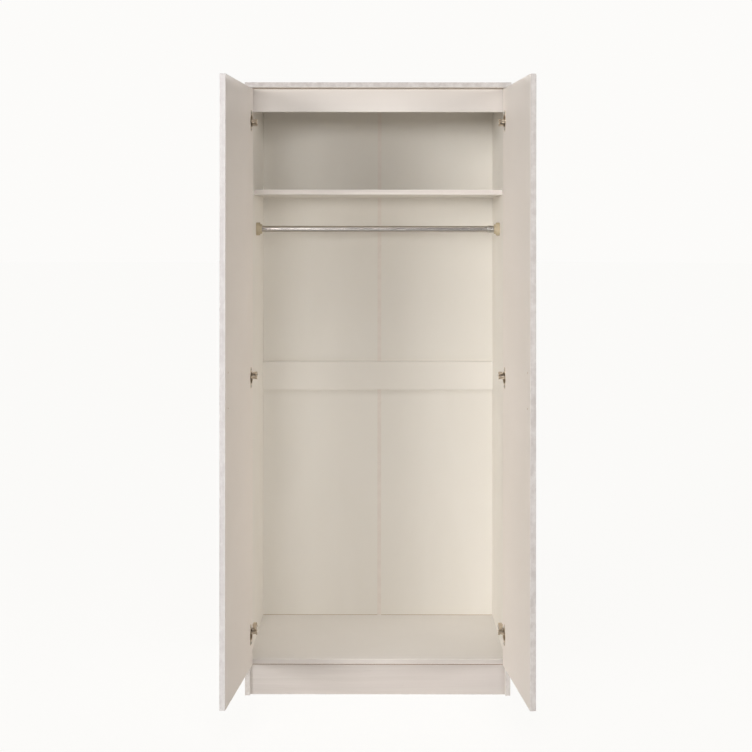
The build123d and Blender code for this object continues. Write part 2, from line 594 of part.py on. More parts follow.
# ---------------------------------------------------------------- doors
edge_x = -POLE_FROM_EDGE
free_x = edge_x + DOOR_WIDTH
door = block(edge_x, free_x, FACE_FROM_POLE - DOOR_BOARD, FACE_FROM_POLE,
             DOOR_BOTTOM - DOOR_MIDDLE, DOOR_TOP - DOOR_MIDDLE)
for level in HINGE_LEVELS.values():
    door = cut_all(door, [Pos(0, 0, level - DOOR_MIDDLE) * tool for tool in door_cuts()])
for step in (-1, 1):
    start = (free_x - HANDLE_INSET, FACE_FROM_POLE + 1.0, step * HANDLE_PITCH / 2)
    door -= rod_between(start, (0, -1, 0), DOOR_BOARD + 2.0, HANDLE_HOLE / 2)
door = swung_open(door)
for side, sign in SIDES.items():
    save("door_" + side, placed(door, sign, DOOR_MIDDLE))


# ---------------------------------------------------------------- boards
boards = {
    "side_panel_left": block(-HALF, -INNER_HALF, FRONT, REAR, 0, TOP_UNDER),
    "side_panel_right": block(INNER_HALF, HALF, FRONT, REAR, 0, TOP_UNDER),
    "top_panel": block(-HALF, HALF, FRONT - TOP_OVERHANG, REAR, TOP_UNDER, HEIGHT),
    "base_panel": block(-INNER_HALF, INNER_HALF, FRONT, BACK_FACE, PLINTH_HEIGHT, BASE_TOP),
    "upper_shelf": block(-INNER_HALF, INNER_HALF, FRONT + SHELF_SETBACK, BACK_FACE,
                         SHELF_LEVEL, SHELF_LEVEL + BOARD),
    "header_rail": block(-INNER_HALF, INNER_HALF, FRONT, FRONT + BOARD,
                         TOP_UNDER - HEADER_HEIGHT, TOP_UNDER),
    "back_cross_rail": block(-INNER_HALF, INNER_HALF, BACK_FACE - BOARD, BACK_FACE,
                             RAIL_LEVEL, RAIL_LEVEL + RAIL_HEIGHT),
    "plinth": block(-INNER_HALF, INNER_HALF, FRONT + PLINTH_RECESS, FRONT + PLINTH_RECESS + BOARD,
                    0, PLINTH_HEIGHT),
    "back_board_left": block(-BACK_REACH, SEAM_X - STRIP_WEB / 2 - GROOVE_CLEARANCE,
                             BACK_FACE, BACK_REAR, BACK_BOTTOM, BACK_TOP),
    "back_board_right": block(SEAM_X + STRIP_WEB / 2 + GROOVE_CLEARANCE, BACK_REACH,
                              BACK_FACE, BACK_REAR, BACK_BOTTOM, BACK_TOP),
}
strip_reach = STRIP_WIDTH / 2
strip = block(SEAM_X - STRIP_WEB / 2, SEAM_X + STRIP_WEB / 2, BACK_FACE, BACK_REAR, BASE_TOP, TOP_UNDER)
strip += block(SEAM_X - strip_reach, SEAM_X + strip_reach, BACK_REAR, BACK_REAR + STRIP_FLANGE,
               BASE_TOP, TOP_UNDER)
strip += block(SEAM_X - strip_reach, SEAM_X + strip_reach, BACK_FACE - STRIP_FLANGE, BACK_FACE,
               BASE_TOP, TOP_UNDER)
notch = block(SEAM_X - strip_reach - 0.4, SEAM_X + strip_reach + 0.4, BACK_FACE - STRIP_FLANGE - 0.2,
              BACK_FACE, BASE_TOP, TOP_UNDER)
for board in ("upper_shelf", "back_cross_rail"):
    joinery.cut(board, notch)
for board, shape in boards.items():
    save(board, cut_all(shape, joinery.cuts.get(board, [])))
save("back_joining_strip", strip)
save("back_nails", together(nails))
save("cam_locks", together(joinery.cams))
save("cam_bolts", together(joinery.bolts))
save("dowels", together(joinery.dowels))
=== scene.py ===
"""Looks of a two-door hanging wardrobe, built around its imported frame.

Sizes inside the classes are in millimetres, in the frame's own axes: X to the
right seen from the front, Y from front to back, Z up, with the origin at the
middle of the plinth's underside. Every mesh is turned into metres in one
place, where its vertices are written.
"""
from __future__ import annotations

import logging
import math
from dataclasses import dataclass, field
from enum import Enum
from typing import Callable, Iterable, Sequence

import bmesh
import bpy
import numpy as np
from mathutils import Matrix, Vector


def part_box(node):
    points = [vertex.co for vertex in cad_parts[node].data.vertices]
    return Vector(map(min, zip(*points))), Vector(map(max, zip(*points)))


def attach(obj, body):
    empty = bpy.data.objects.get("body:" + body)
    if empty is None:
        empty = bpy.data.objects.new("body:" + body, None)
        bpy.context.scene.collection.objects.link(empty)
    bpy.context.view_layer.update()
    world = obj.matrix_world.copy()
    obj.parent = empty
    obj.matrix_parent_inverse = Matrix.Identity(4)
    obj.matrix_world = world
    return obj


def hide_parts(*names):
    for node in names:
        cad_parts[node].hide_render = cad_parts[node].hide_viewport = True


LOG = logging.getLogger("wardrobe")
MM = 0.001
TURNING_CENTRE = (380.5, -33.5)
OPEN_DEGREES = -95.5
HINGE_LEVELS = {"bottom": 189.0, "middle": 937.5, "top": 1686.0}

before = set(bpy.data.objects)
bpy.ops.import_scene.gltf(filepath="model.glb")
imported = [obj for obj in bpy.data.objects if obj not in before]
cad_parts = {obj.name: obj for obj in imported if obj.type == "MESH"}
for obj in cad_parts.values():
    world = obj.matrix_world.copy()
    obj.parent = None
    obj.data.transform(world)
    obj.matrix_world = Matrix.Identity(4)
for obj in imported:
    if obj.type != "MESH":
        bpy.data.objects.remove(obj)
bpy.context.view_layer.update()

Array = np.ndarray
Pair = tuple[float, float]
Triple = tuple[float, float, float]
Colour = Triple
Arrays = dict[str, np.ndarray]
Socket = bpy.types.NodeSocket
Value = float | Socket
Tree = bpy.types.NodeTree
Material = bpy.types.Material


# ------------------------------------------------------------------ named options
class Zone(Enum):
    """What covers one side of a board."""

    PLAIN = "plain foil"
    GRAINED = "grained foil"
    BARE = "bare board"


class Lay(Enum):
    """The way that a board's printed grain runs."""

    UPRIGHT = (60.0, 60.0, 2.2)
    LEVEL = (2.2, 60.0, 60.0)


class Hand(Enum):
    """Which side of the wardrobe a piece is on; the value is its mirror sign."""

    LEFT = 1
    RIGHT = -1

    @property
    def word(self) -> str:
        """The hand as it stands in piece names."""
        return self.name.lower()


# ------------------------------------------------------------------ where a shape is laid
@dataclass(frozen=True)
class Placement:
    """A local frame: two directions across a shape and one along it."""

    origin: Triple
    first: Triple
    second: Triple
    along: Triple

    def lay(self, points: Array) -> Array:
        """Carry local points into the wardrobe's frame.

        Args:
            points: array (..., 3) of local coordinates in millimetres.

        Returns:
            Array of the same shape: origin + a * first + b * second + c * along.
        """
        axes = np.array([self.first, self.second, self.along])
        return np.array(self.origin) + points @ axes


@dataclass(frozen=True)
class Swing:
    """A turn about an upright line, mirrored for the right hand."""

    pole: Pair
    degrees: float
    hand: Hand

    def lay(self, points: Array, level: float = 0.0) -> Array:
        """Turn plan points about the pole, then mirror them if need be.

        Args:
            points: array (..., 3) drawn about the turning centre, for the left hand.
            level: height that is added to them.

        Returns:
            (x cos a - y sin a, x sin a + y cos a, z) moved to the pole, with x
            measured towards the wardrobe's middle on both hands.
        """
        angle = math.radians(self.degrees)
        x = points[..., 0] * math.cos(angle) - points[..., 1] * math.sin(angle)
        y = points[..., 0] * math.sin(angle) + points[..., 1] * math.cos(angle)
        sign = self.hand.value
        return np.stack([sign * (x - self.pole[0]), y + self.pole[1], points[..., 2] + level], axis=-1)


# ------------------------------------------------------------------ gathering surfaces into one mesh
class Skin:
    """Gathers surface patches, welds them and writes one closed mesh."""

    MARKS = ("rim", "grained", "bare")

    def __init__(self) -> None:
        """Start with no patches."""
        self.points: list[Array] = []
        self.faces: list[Array] = []
        self.polygons: list[list[int]] = []
        self.marks: dict[str, list[Array]] = {mark: [] for mark in self.MARKS}
        self.count = 0

    def add_points(self, points: Array, marks: Arrays | None = None) -> int:
        """Store vertices.

        Args:
            points: array (n, 3) in millimetres.
            marks: values for some of the marks, each an array (n,).

        Returns:
            Index of the first new vertex.
        """
        flat = points.reshape(-1, 3)
        self.points.append(flat)
        for mark in self.MARKS:
            given = None if marks is None else marks.get(mark)
            values = np.zeros(len(flat)) if given is None else np.asarray(given, float).reshape(-1)
            self.marks[mark].append(values)
        start = self.count
        self.count += len(flat)
        return start

    def add_grid(self, points: Array, wrap: bool = False, keep: Array | None = None,
                 marks: Arrays | None = None) -> None:
        """Add a patch whose vertices stand on a grid of rows and columns.

        Args:
            points: array (rows, columns, 3).
            wrap: whether the last column joins the first.
            keep: array of the cells' shape, False where a cell is left out.
            marks: values for the vertices.
        """
        rows, columns = points.shape[:2]
        start = self.add_points(points, marks)
        ids = start + np.arange(rows * columns).reshape(rows, columns)
        after = np.roll(ids, -1, axis=1) if wrap else ids[:, 1:]
        before = ids if wrap else ids[:, :-1]
        quads = np.stack([before[:-1], after[:-1], after[1:], before[1:]], axis=-1)
        quads = quads.reshape(-1, 4) if keep is None else quads[keep]
        self.faces.append(quads)

    def add_cap(self, loop: Array, marks: Arrays | None = None) -> None:
        """Close an opening with one flat many-sided face.

        Args:
            loop: array (n, 3) of the opening's corners in order.
            marks: values for the corners.
        """
        start = self.add_points(loop, marks)
        self.polygons.append(list(range(start, start + len(loop))))

    def add_loft(self, loops: Array, marks: Arrays | None = None) -> None:
        """Skin a stack of closed loops whose first and last are closed by caps.

        Args:
            loops: array (loops, n, 3).
            marks: values for the vertices, each of shape (loops, n).
        """
        self.add_grid(loops, wrap=True, marks=marks)
        for row in (0, -1):
            ends = None if marks is None else {name: value[row] for name, value in marks.items()}
            self.add_cap(loops[row], ends)

    def write(self, name: str, material: Material, crease: float = 32.0) -> bpy.types.Object:
        """Weld the patches and make the object.

        Args:
            name: the object's name.
            material: its finish.
            crease: edges sharper than this many degrees stay crisp.

        Returns:
            The new object, at the origin, with its place in its mesh.
        """
        mesh = bpy.data.meshes.new(name)
        polygons = [quad for block in self.faces for quad in block.tolist()] + self.polygons
        mesh.from_pydata((np.concatenate(self.points) * MM).tolist(), [], polygons)
        for mark, blocks in self.marks.items():
            values = np.concatenate(blocks).astype(np.float32)
            if values.any():
                mesh.attributes.new(mark, "FLOAT", "POINT").data.foreach_set("value", values)
        edit = bmesh.new()
        edit.from_mesh(mesh)
        bmesh.ops.remove_doubles(edit, verts=edit.verts, dist=2e-6)
        bmesh.ops.dissolve_degenerate(edit, edges=edit.edges, dist=1e-7)
        loose = [vertex for vertex in edit.verts if not vertex.link_faces]
        bmesh.ops.delete(edit, geom=loose, context="VERTS")
        bmesh.ops.recalc_face_normals(edit, faces=edit.faces)
        edit.to_mesh(mesh)
        edit.free()
        mesh.polygons.foreach_set("use_smooth", np.ones(len(mesh.polygons), bool))
        mesh.set_sharp_from_angle(angle=math.radians(crease))
        mesh.materials.append(material)
        piece = bpy.data.objects.new(name, mesh)
        bpy.context.scene.collection.objects.link(piece)
        return piece


def settle(piece: bpy.types.Object, body: str, node: str) -> None:
    """Hand a finished piece to the frame and report it.

    Its large faces lead the shading of its rounded edges.

    Args:
        piece: the new object.
        body: the CAD body that it rides on.
        node: the CAD node that it stands for.
    """
    piece.modifiers.new("even shading", "WEIGHTED_NORMAL").keep_sharp = True
    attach(piece, body)
    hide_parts(node)
    LOG.info("%s rides on %s for %s: %d faces", piece.name, body, node, len(piece.data.polygons))


def box_mm(node: str) -> tuple[Array, Array]:
    """A CAD node's lowest and highest corners in millimetres."""
    low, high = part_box(node)
    return np.array(low) / MM, np.array(high) / MM


# ------------------------------------------------------------------ outlines
@dataclass(frozen=True)
class Side:
    """One straight side of a board's outline, up to its next corner."""

    start: Pair
    zone: Zone = Zone.PLAIN
    rounding: float = 0.0


@dataclass(frozen=True)
class Recess:
    """A run of one side that is pushed in between two stations."""

    side: int
    depth: float
    span: Pair | None = None
    stations: Pair | None = None


@dataclass(frozen=True)
class Bore:
    """A round hole in one side of a board.

    across is measured along the side from its start, and station along the board.
    """

    side: int
    across: float
    station: float
    radius: float
    depth: float
    through: bool = False
    half: float = 11.0
    cuts: int = 8


@dataclass
class Extrusion:
    """A board: an outline with rounded corners, carried along a straight path.

    Between stations the outline is constant. At both ends it draws in by
    r (1 - sin t) while it advances by r (1 - cos t), which rounds the end edges.
    """

    sides: list[Side]
    length: float
    end_rounding: float = 0.8
    end_zones: tuple[Zone, Zone] = (Zone.PLAIN, Zone.PLAIN)
    bores: list[Bore] = field(default_factory=list)
    recesses: list[Recess] = field(default_factory=list)
    rim_width: float = 6.0
    arc_steps: int = 4
    extra_stations: tuple[float, ...] = ()
    extra_across: dict[int, tuple[float, ...]] = field(default_factory=dict)

    def _corners(self) -> tuple[Array, Array, Array]:
        """The corners, the unit directions of the sides, and the sides' lengths.

        Returns:
            Arrays (n, 2), (n, 2) and (n,).
        """
        corners = np.array([side.start for side in self.sides])
        runs = np.roll(corners, -1, axis=0) - corners
        lengths = np.linalg.norm(runs, axis=1)
        return corners, runs / lengths[:, None], lengths

    def _clear(self, values: Iterable[float], spans: Sequence[Pair]) -> list[float]:
        """The values that lie inside none of the spans."""
        return [v for v in values if not any(low + 1e-6 < v < high - 1e-6 for low, high in spans)]

    def _outline(self) -> Arrays:
        """Work out the outline's vertices.

        Each corner is an arc of its side's rounding, tangent to both sides, and
        each side carries points where bores, recesses and rims need them.

        Returns:
            Arrays by name: place (n, 2), inward (n, 2), side (n,), across (n,),
            rim (n,), grained (n,), bare (n,) and push (recesses, n).
        """
        corners, directions, lengths = self._corners()
        normals = np.stack([-directions[:, 1], directions[:, 0]], axis=1)
        rows: dict[str, list] = {key: [] for key in ("place", "inward", "side", "across", "rim", "zone")}
        pushes: list[list[float]] = [[] for _ in self.recesses]

        def put(place: Array, inward: Array, side: int, across: float, rim: float, zone: Zone,
                pushed: Sequence[int] = ()) -> None:
            """Add one vertex to the outline.

            Args:
                place: where it is.
                inward: the way that a recess sinks it.
                side: the side that it is on.
                across: how far along that side.
                rim: its rim mark, 1 at an edge.
                zone: what covers it.
                pushed: the recesses that sink it.
            """
            for key, value in zip(rows, (place, inward, side, across, rim, zone)):
                rows[key].append(value)
            for number, values in enumerate(pushes):
                values.append(1.0 if number in pushed else 0.0)

        total = len(self.sides)
        for number, side in enumerate(self.sides):
            last = (number - 1) % total
            radius = side.rounding
            whole = [n for n, r in enumerate(self.recesses)
                     if r.span is None and r.side in (number, last)]
            before, ahead = directions[last], directions[number]
            turn = before[0] * ahead[1] - before[1] * ahead[0]
            if radius > 0 and turn > 0:
                centre = corners[number] + radius * (normals[last] + normals[number])
                sweep = np.linspace(0.0, 1.0, self.arc_steps + 1)[:, None]
                turned = sweep * math.pi / 2
                spokes = -(np.cos(turned) * normals[last] + np.sin(turned) * normals[number])
                for step, spoke in enumerate(spokes):
                    first_half = step * 2 < self.arc_steps
                    owner = last if first_half else number
                    across = lengths[last] if first_half else 0.0
                    put(centre + spoke * radius, -spoke, owner, across, 1.0, self.sides[owner].zone,
                        whole)
            else:
                mitre = (normals[last] + normals[number]) / (1 + normals[last] @ normals[number])
                put(corners[number], mitre, number, 0.0, 1.0 if turn > 0 else 0.0, side.zone, whole)
            following = self.sides[(number + 1) % total].rounding
            inside = [(b.across - b.half, b.across + b.half) for b in self.bores
                      if b.side == number or (b.through and self._facing(b.side) == number)]
            wanted: dict[float, tuple[list[int], bool]] = {}
            limit = (radius + 0.05, lengths[number] - following - 0.05)
            supports = [self.rim_width, lengths[number] - self.rim_width,
                        *self.extra_across.get(number, ())]
            for value in self._clear(supports, inside):
                if limit[0] < value < limit[1] and lengths[number] > 2 * self.rim_width:
                    wanted[round(value, 6)] = ([], False)
            for bore in self.bores:
                across = None
                if bore.side == number:
                    across = bore.across
                elif bore.through and self._facing(bore.side) == number:
                    across = lengths[number] - bore.across
                if across is not None:
                    for value in np.linspace(across - bore.half, across + bore.half, bore.cuts + 1):
                        wanted[round(float(value), 6)] = ([], False)
            here = [n for n, r in enumerate(self.recesses) if r.span is None and r.side == number]
            spans = [(n, r.span) for n, r in enumerate(self.recesses)
                     if r.span is not None and r.side == number]
            points = [(value, [], side.zone) for value in wanted
                      if not any(low - 1e-6 <= value <= high + 1e-6 for _, (low, high) in spans)]
            for n, (low, high) in spans:
                points += [(low, [], side.zone), (low + 1e-9, [n], Zone.BARE),
                           (high - 1e-9, [n], Zone.BARE), (high, [], side.zone)]
            for value, pushed, zone in sorted(points, key=lambda item: item[0]):
                gap = min(value, lengths[number] - value)
                rim = max(0.0, 1.0 - gap / self.rim_width)
                put(corners[number] + directions[number] * value, normals[number], number, value, rim,
                    zone, [*pushed, *here])
        zones = rows.pop("zone")
        result = {key: np.array(value, float) for key, value in rows.items()}
        result["grained"] = np.array([zone is Zone.GRAINED for zone in zones], float)
        result["bare"] = np.array([zone is Zone.BARE for zone in zones], float)
        result["push"] = np.array(pushes, float).reshape(len(self.recesses), len(zones))
        return result

    def _facing(self, side: int) -> int:
        """The side across the board from this one, on a four-sided outline."""
        return (side + 2) % len(self.sides)

    def _stations(self) -> Array:
        """Stations along the path between the rounded ends.

        Returns:
            The sorted stations, in millimetres.
        """
        r = self.end_rounding
        spans = [(b.station - b.half, b.station + b.half) for b in self.bores]
        plain = (r, self.length - r, self.rim_width, self.length - self.rim_width,
                 *self.extra_stations)
        values = {round(v, 6) for v in self._clear(plain, spans)}
        for bore in self.bores:
            values |= {round(float(v), 6) for v in
                       np.linspace(bore.station - bore.half, bore.station + bore.half, bore.cuts + 1)}
        for recess in self.recesses:
            if recess.stations:
                values |= {recess.stations[0] - 1e-6, recess.stations[0] + 1e-6,
                           recess.stations[1] - 1e-6, recess.stations[1] + 1e-6}
        return np.array(sorted(v for v in values if r - 1e-9 <= v <= self.length - r + 1e-9))

    def build(self, skin: Skin, placement: Placement) -> None:
        """Add the board's whole surface to a skin.

        Args:
            skin: where the patches go.
            placement: where the outline and its path stand.
        """
        line = self._outline()
        stations = self._stations()
        r = self.end_rounding
        sweep = np.linspace(0.0, math.pi / 2, self.arc_steps + 1)[:-1]
        inset = r * (1 - np.sin(sweep))
        advance = r * (1 - np.cos(sweep))
        rows = np.concatenate([advance, stations, self.length - advance[::-1]])
        insets = np.concatenate([inset, np.zeros(len(stations)), inset[::-1]])
        place = line["place"][None] + line["inward"][None] * insets[:, None, None]
        for number, recess in enumerate(self.recesses):
            low, high = recess.stations or (-math.inf, math.inf)
            active = ((rows > low) & (rows < high)).astype(float)
            directions = self._corners()[1]
            inward = np.array([-directions[recess.side][1], directions[recess.side][0]])
            pushed = active[:, None] * line["push"][number][None]
            place = place + pushed[..., None] * recess.depth * inward
        path = np.broadcast_to(rows[:, None, None], (*place.shape[:2], 1))
        points = np.concatenate([place, path], axis=-1)
        from_end = np.minimum(rows, self.length - rows)
        rim = np.maximum(line["rim"][None], np.clip(1 - from_end / self.rim_width, 0, 1)[:, None])
        grained = np.repeat(line["grained"][None], len(rows), axis=0)
        bare = np.repeat(line["bare"][None], len(rows), axis=0)
        half = len(sweep) // 2
        ends = (slice(0, half + 1), slice(len(rows) - half - 1, len(rows)))
        for zone, block in zip(self.end_zones, ends):
            grained[block] = float(zone is Zone.GRAINED)
            bare[block] = float(zone is Zone.BARE)
        marks = {"rim": rim, "grained": grained, "bare": bare}
        keep = self._cells(line, rows)
        laid = placement.lay(points)
        skin.add_grid(laid, wrap=True, keep=keep, marks=marks)
        for row in (0, -1):
            skin.add_cap(laid[row], {name: value[row] for name, value in marks.items()})
        for bore in self.bores:
            self._bore(skin, placement, bore)

    def _cells(self, line: Arrays, rows: Array) -> Array:
        """Mark the grid's cells that no bore takes out.

        Args:
            line: the outline's arrays.
            rows: the stations of all the grid's rows.

        Returns:
            Array (rows - 1, n) of True and False.
        """
        middle_row = (rows[:-1] + rows[1:])[:, None] / 2
        ahead = {key: np.roll(line[key], -1, axis=0) for key in ("across", "side")}
        keep = np.ones((len(rows) - 1, len(line["side"])), bool)
        lengths = self._corners()[2]
        for bore in self.bores:
            faces = [(bore.side, bore.across)]
            if bore.through:
                other = self._facing(bore.side)
                faces.append((other, lengths[other] - bore.across))
            for side, across in faces:
                middle = (line["across"] + ahead["across"])[None] / 2
                same = (line["side"] == side)[None] & (ahead["side"] == side)[None]
                near = np.abs(middle - across) < bore.half
                level = np.abs(middle_row - bore.station) < bore.half
                keep &= ~(same & near & level)
        return keep

    def _bore(self, skin: Skin, placement: Placement, bore: Bore) -> None:
        """Add the patch round a bore, its wall and its floor.

        The patch runs straight from a square to the circle inside it, point for
        point: angles 2 pi j / n from the square's first corner.

        Args:
            skin: where the patches go.
            placement: the board's placement.
            bore: the hole.
        """
        corners, directions, lengths = self._corners()
        number = bore.cuts * 4
        steps = np.arange(number)
        angle = 2 * math.pi * steps / number - 3 * math.pi / 4
        walk = np.linspace(-1, 1, bore.cuts + 1)[:-1]
        one = np.ones_like(walk)
        turns = ((walk, -one), (one, walk), (-walk, one), (-one, -walk))
        square = bore.half * np.concatenate([np.stack(pair, 1) for pair in turns])
        circle = np.stack([np.cos(angle), np.sin(angle)], axis=1)
        soft = min(0.35, bore.radius * 0.08)
        lip = circle * (bore.radius + soft)
        between = square * 0.4 + lip * 0.6
        eased = circle * (bore.radius + soft * 0.3)
        rings = [(square, 0.0, 0.0), (between, 0.0, 0.0), (lip, 0.0, 0.0), (eased, soft * 0.3, 0.5),
                 (circle * bore.radius, soft, 1.0)]
        bottom = lengths[(bore.side + 1) % len(self.sides)] - soft if bore.through else bore.depth
        for share in (0.5, 1.0):
            rings.append((circle * bore.radius, soft + (bottom - soft) * share, 1.0))
        if bore.through:
            rings += [(eased, bottom + soft * 0.7, 0.5),
                      *((ring, bottom + soft, 0.0) for ring in (lip, between, square))]
        else:
            rings += [(circle * bore.radius * share, bore.depth, 1.0) for share in (0.5, 0.0)]
        flat = np.stack([ring for ring, _, _ in rings])
        depth = np.array([value for _, value, _ in rings])
        mark = np.array([value for _, _, value in rings])
        side = directions[bore.side]
        inward = np.array([-side[1], side[0]])
        place = (corners[bore.side] + (bore.across + flat[..., :1]) * side
                 + depth[:, None, None] * inward)
        points = np.concatenate([place, bore.station + flat[..., 1:]], axis=-1)
        bare = np.repeat(mark[:, None], number, axis=1)
        grained = float(self.sides[bore.side].zone is Zone.GRAINED)
        half = len(rings) // 2
        print_marks = np.zeros_like(bare)
        print_marks[:half] = grained
        if bore.through:
            print_marks[half:] = float(self.sides[self._facing(bore.side)].zone is Zone.GRAINED)
        gap = np.minimum(bore.across + flat[..., 0], lengths[bore.side] - bore.across - flat[..., 0])
        rim = np.clip(1 - gap / self.rim_width, 0, 1)
        marks = {"bare": bare, "grained": print_marks, "rim": rim}
        skin.add_grid(placement.lay(points), wrap=True, marks=marks)


def rectangle(width: float, depth: float, rounding: float, zones: Sequence[Zone]) -> list[Side]:
    """The four sides of a board's outline, anticlockwise from the origin.

    Args:
        width: extent of the first and third sides.
        depth: extent of the second and fourth sides.
        rounding: radius of the corners.
        zones: what covers each side.

    Returns:
        The sides in order.
    """
    corners = [(0.0, 0.0), (width, 0.0), (width, depth), (0.0, depth)]
    return [Side(corner, zone, rounding) for corner, zone in zip(corners, zones)]


# ------------------------------------------------------------------ node graphs
class Graph:
    """Adds nodes to one tree, with their inputs given by name."""

    def __init__(self, tree: Tree) -> None:
        """Remember the tree."""
        self.tree = tree

    def add(self, kind: str, settings: dict | None = None,
            **inputs: Value | tuple[float, ...]) -> bpy.types.Node:
        """Add one node.

        Args:
            kind: the node's type, without the leading ShaderNode.
            settings: properties to set on it.
            **inputs: sockets to link or values to set, by name or by _number.

        Returns:
            The node.
        """
        node = self.tree.nodes.new("ShaderNode" + kind)
        for key, value in (settings or {}).items():
            setattr(node, key, value)
        for key, value in inputs.items():
            numbered = key.startswith("_")
            socket = node.inputs[int(key[1:]) if numbered else key.replace("_", " ")]
            if isinstance(value, Socket):
                self.tree.links.new(value, socket)
            else:
                socket.default_value = value
        return node

    def noise(self, vector: Socket, scale: Value, detail: float = 3.0, rough: float = 0.5,
              distortion: float = 0.0) -> Socket:
        """A noise texture's value.

        Args:
            vector: where it is read.
            scale: its scale.
            detail: how many finer octaves are added.
            rough: how much each octave counts.
            distortion: how far the pattern is pulled about.

        Returns:
            The value, 0 to 1.
        """
        node = self.add("TexNoise", Vector=vector, Scale=scale, Detail=detail, Roughness=rough,
                        Distortion=distortion)
        return node.outputs["Fac"]

    def band(self, value: Value, low: Value, high: Value, to_low: float = 0.0,
             to_high: float = 1.0) -> Socket:
        """A value spread smoothly from one range to another.

        Args:
            value: the value.
            low: the first end of its range.
            high: the other end.
            to_low: what the first end becomes.
            to_high: what the other end becomes.

        Returns:
            The new value, held between the new ends.
        """
        node = self.add("MapRange", {"interpolation_type": "SMOOTHSTEP", "clamp": True}, Value=value,
                        From_Min=low, From_Max=high, To_Min=to_low, To_Max=to_high)
        return node.outputs["Result"]

    def sum(self, kind: str, first: Value, second: Value) -> Socket:
        """One step of arithmetic."""
        return self.add("Math", {"operation": kind}, _0=first, _1=second).outputs[0]

    def times(self, first: Value, second: Value) -> Socket:
        """A product."""
        return self.sum("MULTIPLY", first, second)

    def gather(self, start: Value, *terms: tuple[Value, Value]) -> Socket:
        """A value to which others are added in turn, each times its weight.

        Args:
            start: the first value.
            *terms: pairs of a value and its weight.

        Returns:
            The sum.
        """
        for value, weight in terms:
            start = self.sum("ADD", start, self.times(value, weight))
        return start

    def mark(self, name: str) -> Socket:
        """A mark that the mesh carries."""
        return self.add("Attribute", {"attribute_name": name}).outputs["Fac"]

    def surface(self, shader: bpy.types.Node, colour: Socket, rough: Socket, height: Socket,
                strength: float, distance: float) -> None:
        """Link what changes over a surface to its shader.

        Args:
            shader: the material's shader.
            colour: its colour.
            rough: its roughness.
            height: its relief.
            strength: how strongly the relief shows.
            distance: the relief's height in metres.
        """
        bump = self.add("Bump", Strength=strength, Distance=distance, Height=height)
        for name, value in (("Base Color", colour), ("Roughness", rough), ("Normal", bump.outputs[0])):
            self.tree.links.new(value, shader.inputs[name])

    def mix(self, share: Value, first: Colour | Socket, second: Colour | Socket) -> Socket:
        """Two colours mixed by a share.

        Args:
            share: how much of the second colour.
            first: one colour.
            second: the other.

        Returns:
            The mixed colour.
        """
        node = self.add("Mix", {"data_type": "RGBA"})
        for socket, value in ((node.inputs[0], share), (node.inputs[6], first), (node.inputs[7], second)):
            if isinstance(value, Socket):
                self.tree.links.new(value, socket)
            elif socket.type == "RGBA":
                socket.default_value = (*value, 1.0)
            else:
                socket.default_value = value
        return node.outputs[2]


def group(name: str, inputs: Sequence[tuple[str, str, float]],
          outputs: Sequence[str]) -> tuple[Tree, Graph, dict[str, Socket], bpy.types.Node]:
    """Start a shader node group with named sockets.

    Args:
        name: the group's name.
        inputs: name, kind and default of each input.
        outputs: the names of its value outputs.

    Returns:
        The group's tree, its graph, its input sockets by name and its output node.
    """
    tree = bpy.data.node_groups.new(name, "ShaderNodeTree")
    for label, kind, value in inputs:
        socket = tree.interface.new_socket(label, in_out="INPUT", socket_type="NodeSocket" + kind)
        if kind == "Float":
            socket.default_value = value
    for label in outputs:
        tree.interface.new_socket(label, in_out="OUTPUT", socket_type="NodeSocketFloat")
    source = tree.nodes.new("NodeGroupInput")
    target = tree.nodes.new("NodeGroupOutput")
    return tree, Graph(tree), {socket.name: socket for socket in source.outputs}, target


